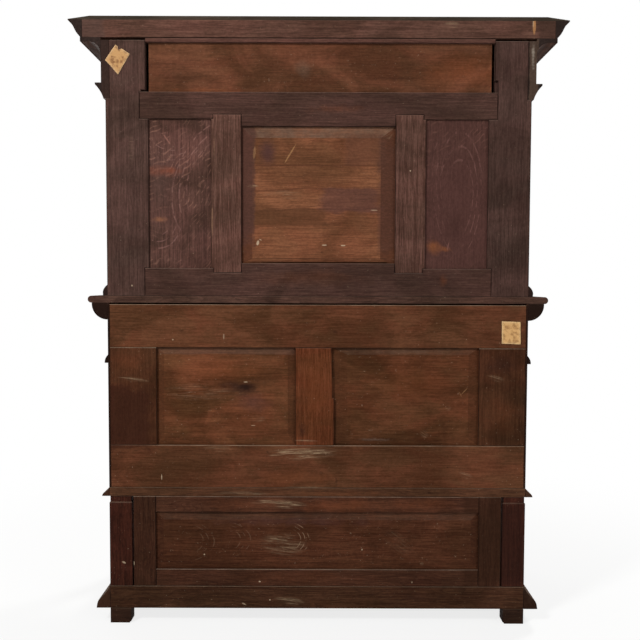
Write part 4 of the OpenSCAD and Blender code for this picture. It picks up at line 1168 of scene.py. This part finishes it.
@dataclass
class Case:
    """The closed case: oak ends and front, and a pine back stained to match."""

    # slash-sawn pine, planed and stained: wide soft rings, warm where thinly stained
    rail_pine: WoodFinish = WoodFinish(
        "stained pine rail", "#5a3724", "#402517", "#6f4833", Figure.KNOTTY, ring=17, figured=0.25,
        fibre=0.28, mottle=0.5, hue=0.35, pore=0.22, speck=0.42, arris="#8a7460", worn=0.8,
        dust=0.3, marks=(
            Mark(WARM, 60, 496, 240, 50, 0.3), Mark(SCUFF, 60, 578, 145, 24, 0.9, -0.05),
            Mark(SCUFF, 40, 459, 130, 10, 0.7), Mark(SCUFF, 337, 594, 60, 14, 0.25),
            Mark(SCUFF, -495, 507, 30, 14, 0.3, 0.3), Mark(KNOT, 167, 583, 10, 8, 0.6),
            Mark(KNOT, -435, 534, 7, 3, 0.7), Mark(KNOT, -56, 986, 12, 10, 0.6),
            Mark(KNOT, 451, 989, 12, 6, 0.5), Mark(STAIN, -64, 486, 6, 24, 0.5),
            Mark(STAIN, -615, 873, 80, 48, 0.6), Mark(SCUFF, -592, 833, 35, 12, 0.35, 0.25),
            Mark(WARM, -617, 692, 100, 130, 0.15),
            Mark(BAND, 660, 699, 110, 112, 0.8, 0.04, tone="#351c13"),
            Mark(SCUFF, 615, 826, 60, 8, 0.6, 0.1), Mark(WARM, 638, 886, 110, 70, 0.2),
            Mark(FLECK, 312, 969, 2.5, 12, 0.45), Mark(FLECK, 481, 959, 3, 3, 0.5),
            Mark(FLECK, 521, 498, 1.8, 12, 0.7)))
    # slash-sawn pine with knots, planed and stained: the smoothest part of the back
    panel_pine: WoodFinish = WoodFinish(
        "stained pine panel", "#613b26", "#432718", "#754b31", Figure.KNOTTY, ring=24, figured=0.2,
        fibre=0.27, mottle=0.6, hue=0.4, pore=0.22, speck=0.38, arris="#6f5748", dust=0.15,
        soot=0.5, marks=(
            Mark(WARM, 299, 856, 200, 50, 0.4), Mark(STAIN, 253, 803, 105, 36, 1.0),
            Mark(KNOT, 240, 803, 50, 28, 1.0), Mark(BLOOM, 220, 752, 80, 55, 0.6),
            Mark(FLECK, 240, 818, 8, 1.8, 0.9), Mark(FLECK, 215, 672, 9, 1.5, 0.6),
            Mark(SCUFF, 203, 695, 35, 14, 0.3), Mark(SCUFF, 376, 786, 150, 40, 0.2),
            Mark(BAND, 309, 922, 250, 13, 0.45, tone="#4c3930"),
            Mark(DUST, -289, 920, 230, 12, 0.2), Mark(WARM, -306, 809, 200, 80, 0.22),
            Mark(KNOT, -113, 886, 4, 4, 0.8), Mark(RAW, -489, 789, 1.8, 20, 0.35, 0.75),
            Mark(RAW, -476, 779, 1.8, 12, 0.25, -0.5), Mark(SCUFF, -436, 732, 12, 10, 0.5),
            Mark(SCUFF, -357, 645, 18, 14, 0.45, 0.6), Mark(DUST, -190, 625, 80, 8, 0.5)))
    # resinous heart pine, stained: the reddest piece of the back
    muntin_pine: WoodFinish = WoodFinish(
        "reddish pine muntin", "#61331e", "#3e2010", "#6d402a", Figure.KNOTTY, ring=12,
        figured=0.35, mottle=0.35, hue=0.3, arris="#5a3a28", marks=(
            Mark(WARM, 10, 776, 70, 190, 0.25), Mark(STAIN, 53, 652, 20, 50, 0.5),
            Mark(SCUFF, 43, 621, 50, 6, 0.6)))
    # moulded oak, stained: dull, its upper slope grey with dust
    base_oak: WoodFinish = WoodFinish(
        "stained base rail", "#513322", "#332017", "#61422e", ring=9, arris="#77634f", dust=0.35,
        marks=(
            Mark(KNOT, -375, 449, 14, 7, 0.6), Mark(WARM, -40, 442, 300, 20, 0.2),
            Mark(SCUFF, 261, 442, 120, 10, 0.35)))
    # quarter-sawn oak, french polished: silver rays under a thin sheen
    front_oak: WoodFinish = WoodFinish(
        "french polished quartered oak", "#54301f", "#341c12", "#7c4d31", Figure.QUARTERED, ring=22,
        figured=0.45, fibre=0.55, speck=0.0, roughness=0.45, specular=0.2, coat=0.05,
        arris="#85593a", worn=0.45, dust=0.1)
    # moulded and turned oak, polished: darker and a little shinier than boards
    moulding_oak: WoodFinish = WoodFinish(
        "polished moulding oak", "#432618", "#2a160d", "#5e3a27", mottle=0.3, speck=0.0,
        roughness=0.45, specular=0.16, coat=0.03, arris="#7a5138", dust=0.15)
    # sawn oak never meant to be seen: dark, matt and dirty
    rear_oak: WoodFinish = WoodFinish(
        "raw rear end of a case moulding", "#2c1b15", "#1c110d", "#3c271d", mottle=0.5,
        arris="#3c2c24", dust=0.1)
    # planed pine without stain: pale yellow-brown, with its rings in full view
    bare_pine: WoodFinish = WoodFinish(
        "bare pine lining", "#9c7a54", "#7d5d3c", "#b8966c", Figure.KNOTTY, ring=12, figured=0.45,
        fibre=0.4, mottle=0.3, hue=0.1, specular=0.2, arris="#b39a76", dust=0.2)
    # the two stiles, darker than the rails
    stile_shades: tuple[Shade, ...] = ((0.613, 0.77, 0.1, 0.60), (-0.613, 0.77, 0.1, 0.58))
    # the lighter and the darker panel
    panel_shades: tuple[Shade, ...] = ((0.305, 0.77, 0.1, 1.07), (-0.295, 0.77, 0.1, 0.81))

    def build(self, joiner: Joiner) -> None:
        """Dress the case, its drawers and its doors.

        Args:
            joiner: carries the wooden nodes over.
        """
        front, moulding = self.front_oak, self.moulding_oak
        rear, bare = self.rear_oak, self.bare_pine
        joiner.eased("case_base_rails", self.base_oak, Ease.EVEN, turned=True)
        joiner.eased("case_back_frame", self.rail_pine, Ease.WORN, self.stile_shades)
        joiner.eased("case_back_muntin", self.muntin_pine, Ease.WORN)
        joiner.eased("case_back_panels", self.panel_pine, Ease.SLIGHT, self.panel_shades)
        for node in ("case_end_frames", "case_end_panels"):
            joiner.eased(node, front, Ease.EVEN, rear=rear)
        joiner.eased("case_front_frame", front, Ease.SLIGHT)
        for node in ("string_moulding", "quarter_round_moulding"):
            joiner.eased(node, moulding, Ease.SLIGHT, turned=True, rear=rear)
        for node in ("case_floor", "dust_board", "drawer_guides", "cupboard_shelf",
                     "shelf_bearers"):
            joiner.eased(node, bare, Ease.SOFT)
        for side in ("left", "right"):
            joiner.eased(f"drawer_{side}_front", front, Ease.SLIGHT)
            joiner.eased(f"drawer_{side}_box", bare, Ease.SLIGHT)
            joiner.eased(f"drawer_{side}_bottom", bare, Ease.CRISP)
            joiner.eased(f"drawer_{side}_knobs", moulding, Ease.TURNED, turned=True)
            joiner.eased(f"door_{side}_frame", front, Ease.SLIGHT)
            joiner.eased(f"door_{side}_panel", front, Ease.SLIGHT)
        for node in ("door_left_knob", "door_right_knob", "door_left_hinge_leaves",
                     "door_right_hinge_leaves", "case_hinge_leaves"):
            joiner.dress(node, MetalFinish())


@dataclass
class MirrorBack:
    """The sideboard top and the framed mirror back that stands on it."""

    # oak board seen on its rear edge: brown-grey with settled dust
    top_oak: WoodFinish = WoodFinish(
        "dusty top oak", "#50382f", "#2f201b", "#61473b", ring=8, arris="#6a564b", dust=0.3, marks=(
            Mark(SCUFF, 457, 1049, 120, 12, 0.3), Mark(STAIN, -40, 1052, 150, 16, 0.3)))
    # oak under a purple-brown stain: soft streaks and hardly any figure
    stile_oak: WoodFinish = WoodFinish(
        "stained stile oak", "#48342e", "#33241f", "#5e463e", ring=8, figured=0.25, fibre=0.36,
        mottle=0.45, arris="#6b564c", marks=(
            Mark(STAIN, -665, 1388, 50, 260, 0.35), Mark(SCUFF, 613, 1584, 12, 60, 0.1),
            Mark(FLECK, 615, 1138, 3, 4, 0.6)))
    # the same oak with its grain lying: a shade darker than the stiles
    rail_oak: WoodFinish = WoodFinish(
        "stained rail oak", "#46312a", "#34231e", "#5a4037", ring=9, figured=0.25, fibre=0.4,
        arris="#6b564c", marks=(
            Mark(WARM, 59, 1165, 300, 40, 0.14), Mark(STAIN, -403, 1162, 80, 40, 0.35),
            Mark(WARM, -413, 1155, 20, 30, 0.3), Mark(WARM, -56, 1716, 140, 20, 0.2),
            Mark(FLECK, 585, 1138, 3, 3, 0.7), Mark(FLECK, 452, 1082, 4, 6, 0.8)))
    # oak of another tree, coarser and redder: open pores show as dark streaks
    muntin_oak: WoodFinish = WoodFinish(
        "reddish muntin oak", "#583b31", "#3e2922", "#6f5147", ring=8, figured=0.3, fibre=0.6,
        mottle=0.45, pore=0.5, arris="#77594c", marks=(
            Mark(RAW, 349, 1352, 3, 58, 0.45, tone="#8c6a54"),
            Mark(RAW, 342, 1593, 1.8, 36, 0.4, tone="#8c6a54"),
            Mark(FLECK, -302, 1517, 2.5, 2.5, 0.8)))
    # quarter-sawn oak, stained: pink rays, worn orange where it was rubbed
    rayed_oak: WoodFinish = WoodFinish(
        "quartered side panel", "#4e352f", "#3a2823", "#7f5b4e", Figure.QUARTERED, ring=19,
        figured=0.65, fibre=0.26, mottle=0.55, arris="#6b5449", marks=(
            Mark(BLOOM, -453, 1454, 450, 900, 0.95),
            Mark(WARM, 512, 1517, 85, 28, 0.85, tone="#80432e"),
            Mark(WARM, 523, 1355, 40, 12, 0.8, tone="#80543c"),
            Mark(RAW, 498, 1618, 3, 24, 0.6, -0.6, tone="#855b50"),
            Mark(STAIN, 520, 1405, 60, 60, 0.3), Mark(STAIN, -451, 1329, 50, 90, 0.35),
            Mark(SWIRL, 335, 1480, 150, 230, 0.6, 3.5, tone="#7d5a52"),
            Mark(SWIRL, 536, 1401, 155, 100, 0.6, 1.45, tone="#7a5852"),
            Mark(BLOOM, 526, 1454, 80, 260, 0.45, tone="#463630"),
            Mark(SWIRL, 484, 1655, 115, 130, 0.6, 1.75, tone="#7f5d56"),
            Mark(SWIRL, -454, 1349, 330, 100, 0.5, -1.52, tone="#6c4c45"),
            Mark(SWIRL, -450, 1434, 95, 240, 0.5, 0.05, tone="#6f4e46"),
            Mark(SWIRL, -467, 1454, 100, 250, 0.35, 3.05, tone="#6a4a42"),
            Mark(WARM, -381, 1273, 36, 34, 0.85, tone="#75462b"),
            Mark(WARM, -419, 1260, 30, 12, 0.7, 0.2, tone="#75462b"),
            Mark(RAW, -429, 1270, 2.5, 16, 0.4, 0.2, tone="#855b50")))
    # glued-up pine planks, stained: orange and brown planks, grey dusty bevels
    board_pine: WoodFinish = WoodFinish(
        "pine backboard", "#734932", "#4f2f21", "#8c5c40", Figure.KNOTTY, ring=26, figured=0.25,
        fibre=0.3, mottle=0.5, hue=0.2, arris="#6c5444", dust=0.53, soot=0.85,
        planks=(Plank(1533, 1.06), Plank(1456, 1.10, 50, 0.6), Plank(1390, 1.00, 40, 0.6),
                Plank(1336, 1.07, 30, 0.2)), marks=(
            Mark(BAND, -105, 1421, 100, 42, 0.6, 0.02, tone="#503530"),
            Mark(BAND, 115, 1365, 150, 28, 0.6, tone="#4c3120"),
            Mark(BAND, -157, 1590, 70, 56, 0.55, tone="#57382a"),
            Mark(BLOOM, 167, 1577, 42, 64, 1.0),
            Mark(BAND, 236, 1486, 30, 230, 0.75, tone="#48302a"),
            Mark(BAND, -233, 1437, 38, 200, 0.42, tone="#48312a"),
            Mark(RAW, 210, 1574, 5, 26, 0.35, 0.1), Mark(RAW, 93.1, 1570.5, 3, 43, 0.55, 0.545),
            Mark(SCUFF, 217, 1465, 24, 7, 0.6), Mark(FLECK, 199, 1280, 5, 10, 0.8, 0.2),
            Mark(FLECK, 190, 1290, 6, 2, 0.6, 0.4), Mark(FLECK, -20, 1273, 11, 2.6, 0.7),
            Mark(FLECK, -82, 1272, 10, 2.6, 0.85), Mark(FLECK, -184, 1388, 14, 2, 0.5),
            Mark(KNOT, -13, 1250, 8, 7, 0.5), Mark(BAND, 0, 1229, 240, 2, 0.45, tone="#3a241a"),
            Mark(BAND, 0, 1216, 240, 2.6, 0.8, tone="#1e120e"),
            Mark(SCUFF, -229, 1636, 24, 20, 0.4, -0.6), Mark(SCUFF, 118, 1437, 80, 20, 0.25)))
    # moulded and turned oak, polished: a soft sheen on its rounds
    moulding_oak: WoodFinish = WoodFinish(
        "polished mirror moulding", "#432618", "#2a160d", "#5e3a27", mottle=0.3, speck=0.0,
        roughness=0.42, specular=0.16, coat=0.04, arris="#7a5138", dust=0.15)
    # sawn oak never meant to be seen: dark and matt
    rear_oak: WoodFinish = WoodFinish(
        "raw rear end of a mirror moulding", "#352520", "#231815", "#46322b", mottle=0.5,
        arris="#46342c", dust=0.1)
    # the two muntins
    muntin_shades: tuple[Shade, ...] = ((0.303, 1.44, 0.1, 1.10), (-0.303, 1.44, 0.1, 0.99))
    # the two side panels
    rayed_shades: tuple[Shade, ...] = ((0.455, 1.44, 0.1, 1.04), (-0.455, 1.44, 0.1, 0.93))

    def build(self, joiner: Joiner) -> None:
        """Dress the top, the frame, its panels, the mirror and the columns.

        Args:
            joiner: carries the wooden nodes over.
        """
        moulding, rear = self.moulding_oak, self.rear_oak
        joiner.eased("sideboard_top", self.top_oak, Ease.CRISP, turned=True)
        joiner.eased("mirror_back_stiles", self.stile_oak, Ease.WORN)
        joiner.eased("mirror_back_rails", self.rail_oak, Ease.WORN)
        joiner.eased("mirror_back_muntins", self.muntin_oak, Ease.WORN, self.muntin_shades)
        joiner.eased("oak_side_panels", self.rayed_oak, Ease.CRISP, self.rayed_shades)
        joiner.eased("mirror_backboard", self.board_pine, Ease.SLIGHT)
        joiner.eased("mirror_moulding", moulding, Ease.CRISP, turned=True)
        joiner.eased("mirror_foot_moulding", moulding, Ease.CRISP, turned=True, rear=rear)
        joiner.eased("columns", moulding, Ease.TURNED, turned=True)
        joiner.dress("mirror_glass", MirrorFinish())


@dataclass
class Canopy:
    """Frieze, soffit and cornice."""

    # slash-sawn pine, planed and stained: even, with broad faint rings; painted shade on the end
    # nearer the key lamp and painted light on the far end even out the lamp's falloff
    frieze_pine: WoodFinish = WoodFinish(
        "pine frieze panel", "#66402d", "#4a2b20", "#744b35", Figure.KNOTTY, ring=30, figured=0.14,
        fibre=0.26, mottle=0.6, hue=0.25, pore=0.2, arris="#7a4a34", marks=(
            Mark(STAIN, 20, 1845, 150, 120, 0.08, 0.3), Mark(DUST, 50, 1850, 40, 40, 0.25),
            Mark(STAIN, -250, 1818, 160, 6, 0.35), Mark(WARM, 380, 1776, 200, 12, 0.35),
            # the two marks below: painted shade on the end nearer the key lamp and painted light on
            # the far end, evening out the lamp's falloff along the panel
            Mark(STAIN, 483, 1836, 200, 120, 0.3), Mark(WARM, -480, 1836, 200, 100, 0.5)))
    # oak batten, stained: red-brown and plain
    batten_oak: WoodFinish = WoodFinish(
        "frieze batten", "#604138", "#402822", "#6b4a40", ring=8, fibre=0.45, mottle=0.3,
        arris="#6e5347", marks=(
            Mark(FLECK, -120, 1949, 18, 2, 0.8),))
    # oak board, stained: a dirty red-brown, knocked along its edge
    board_oak: WoodFinish = WoodFinish(
        "cornice back board", "#593d33", "#412b24", "#6f4f42", ring=11, figured=0.3, mottle=0.45,
        arris="#6a5246", marks=(
            Mark(BAND, 754, 1980, 60, 60, 0.6, tone="#4a3832"),
            Mark(RAW, -701, 1986, 6, 36, 0.9, tone="#a0724a"),
            Mark(FLECK, -697, 1996, 1.6, 20, 0.6), Mark(SCUFF, -433, 1989, 30, 14, 0.45),
            Mark(BAND, -764, 1980, 50, 60, 0.6, tone="#3a2922")))
    # oak left bare on top of the cornice: grey with years of dust
    edge_oak: WoodFinish = WoodFinish(
        "weathered board edge", "#3c342c", "#2a231d", "#4c4238", ring=7, arris="#574c40", worn=0.4,
        dust=0.25)
    # moulded oak, polished long ago: almost dull, with dust on its slopes
    crown_oak: WoodFinish = WoodFinish(
        "polished cornice oak", "#43291d", "#2a1911", "#5c3c2c", fibre=0.45, mottle=0.25, speck=0.0,
        roughness=0.65, specular=0.05, arris="#66524a", dust=0.3)
    # oak that was only stained, out of sight: dark and quite matt
    soffit_oak: WoodFinish = WoodFinish(
        "dull soffit oak", "#452b1f", "#2c1b13", "#5f3f2e", ring=9, mottle=0.35, speck=0.0,
        roughness=0.85, specular=0.06, dust=0.0)
    # sawn oak never meant to be seen: grey-brown, dusty and chipped, and a thin pale line of
    # painted sheen on the hollow at the bed moulding's end
    rear_oak: WoodFinish = WoodFinish(
        "raw rear end of a cornice moulding", "#3b2f2b", "#261d1a", "#4c3e38", mottle=0.5,
        arris="#463832", dust=0.1, marks=(
            # a thin pale line in the colour of dust: painted sheen where the bed moulding's hollow
            # catches light
            Mark(DUST, 726, 1893, 3, 30, 0.9, -0.6),
            Mark(BAND, 695, 1810, 16, 160, 0.8, tone="#32241f"),
            Mark(BAND, -702, 1810, 16, 160, 0.8, tone="#4c3c32"),
            Mark(DUST, -699, 1890, 8, 60, 1.0, tone="#84786c")))

    def build(self, joiner: Joiner) -> None:
        """Dress the frieze and the cornice.

        Args:
            joiner: carries the wooden nodes over.
        """
        crown, rear = self.crown_oak, self.rear_oak
        joiner.eased("frieze_back_panel", self.frieze_pine, Ease.SOFT)
        joiner.eased("frieze_batten", self.batten_oak, Ease.SOFT)
        joiner.eased("frieze_boards", Case.front_oak, Ease.SOFT, rear=rear)
        joiner.eased("canopy_soffit", self.soffit_oak, Ease.SLIGHT)
        joiner.eased("necking_moulding", crown, Ease.CRISP, turned=True, rear=rear)
        joiner.eased("bed_moulding", crown, Ease.CRISP, turned=True, rear=rear)
        joiner.eased("cornice_ground", Case.bare_pine, Ease.SOFT)
        joiner.eased("cornice_back_board", self.board_oak, Ease.EVEN)
        joiner.eased("crown_moulding", crown, Ease.CRISP, turned=True, rear=rear)
        joiner.eased("cornice_top_board", self.edge_oak, Ease.KEEN)


@dataclass(frozen=True)
class Lamp:
    """A square soft lamp: its place and its side in metres and its power in watts."""

    name: str
    place: tuple[float, float, float]
    side: float
    power: float


@dataclass
class Studio:
    """Pale floor, soft light and the camera, which looks at the back.

    Lengths are in metres and angles in degrees. The lens is in millimetres, as are the 36 of the
    sensor. Near the object the floor shows its shadow, and from near to far it turns as white as
    the background. A small lamp shines so strongly that it would show in the polish as a white
    patch, so only those with a side over broad are seen in it.
    """

    lens: float = 42.75
    sensor: float = 36
    distance: float = 2.515
    height: float = 1.148
    aside: float = -0.0066
    pitch: float = 2.78
    roll: float = -0.19
    world: float = 0.24
    floor_reach: float = 14
    floor_sides: int = 96
    floor_level: float = -0.0005
    floor_colour: str = "#f2f2f0"
    white: str = "#ffffff"
    near: float = 0.9
    far: float = 2.6
    near_share: float = 0.8
    aim: float = 1.0
    broad: float = 2.0
    lamps: tuple[Lamp, ...] = (
        Lamp("key over the camera's left", (2.4, 3.0, 3.6), 0.7, 155),
        Lamp("fill from the camera's right", (-2.8, 3.0, 1.7), 2.4, 36),
        Lamp("front key", (-2.4, -3.2, 3.4), 1.0, 150),
        Lamp("front fill", (2.8, -3.0, 1.6), 2.4, 40))

    def build(self) -> None:
        """Set the view, the floor, the lamps and the camera."""
        bpy.context.scene.view_settings.view_transform = "Standard"
        self.floor()
        self.sky()
        for lamp in self.lamps:
            self.hang(lamp)
        self.camera()

    def floor(self) -> None:
        """Lay a round pale floor; a ray from the camera or a mirror sees it nearly white."""
        turn = np.linspace(0, 2 * np.pi, self.floor_sides, endpoint=False)
        level = np.full_like(turn, self.floor_level)
        x, y = self.floor_reach * np.cos(turn), self.floor_reach * np.sin(turn)
        ring = np.stack([x, y, level], -1)
        mesh = bpy.data.meshes.new("floor")
        mesh.from_pydata(ring.tolist(), [], [list(range(self.floor_sides))])
        made, put = started("pale studio floor")
        away = put(Node.LENGTH, put(Node.PLACE))
        shown = put(Node.RAMP, away, self.near, self.far, self.near_share, 1.0)
        plain = put(Node.CHALKY, linear(self.floor_colour))
        glowing = put(Node.GLOWING, linear(self.white), 1.0)
        share = put(Node.TIMES, self.seen(put), shown)
        put(Node.SURFACE, put(Node.EITHER, share, plain, glowing))
        mesh.materials.append(made)
        floor = placed("floor", mesh)

    def seen(self, put: Put) -> Socket:
        """Return one for a ray that shows the background: from the camera, a mirror or glass."""
        seen = put(Node.MOST, put(Node.FROM_CAMERA), put(Node.FROM_MIRROR))
        return put(Node.MOST, seen, put(Node.THROUGH_GLASS))

    def sky(self) -> None:
        """Fill the world with an even light that shows white behind the object."""
        world = bpy.data.worlds.new("studio")
        bpy.context.scene.world = world
        world.use_nodes = True
        world.node_tree.nodes.clear()
        put = partial(add, world.node_tree)
        dim, full = (put(Node.SKY, linear(self.white), strength) for strength in (self.world, 1.0))
        put(Node.WORLD, put(Node.EITHER, self.seen(put), dim, full))

    def hang(self, lamp: Lamp) -> None:
        """Hang a lamp so that it faces the middle of the piece.

        Args:
            lamp: the lamp.
        """
        light = bpy.data.lights.new(lamp.name, "AREA")
        light.size = lamp.side
        light.energy = lamp.power
        hung = placed(lamp.name, light)
        hung.visible_glossy = lamp.side > self.broad
        x, y, z = lamp.place
        hung.location = lamp.place
        tilt = math.atan2(math.hypot(x, y), z - self.aim)
        hung.rotation_euler = (tilt, 0, math.atan2(y, x) + math.pi / 2)

    def camera(self) -> None:
        """Set the camera square to the back, looking a little down."""
        data = bpy.data.cameras.new("camera")
        data.sensor_width = self.sensor
        data.lens = self.lens
        camera = placed("camera", data)
        camera.rotation_mode = "XYZ"
        camera.location = (self.aside, BACK_Y + self.distance, self.height)
        tilt, lean = math.radians(90 - self.pitch), math.radians(self.roll)
        camera.rotation_euler = (tilt, lean, math.pi)
        bpy.context.scene.camera = camera


def main() -> None:
    """Build and dress the whole sideboard."""
    logging.basicConfig(level=logging.INFO, format="%(name)s: %(message)s")
    joiner = Joiner()
    for assembly in (Stand(), Case(), MirrorBack(), Canopy()):
        log.info("dressing %s", type(assembly).__name__)
        assembly.build(joiner)
    Labels().build()
    Studio().build()


if __name__ == "__main__":
    main()
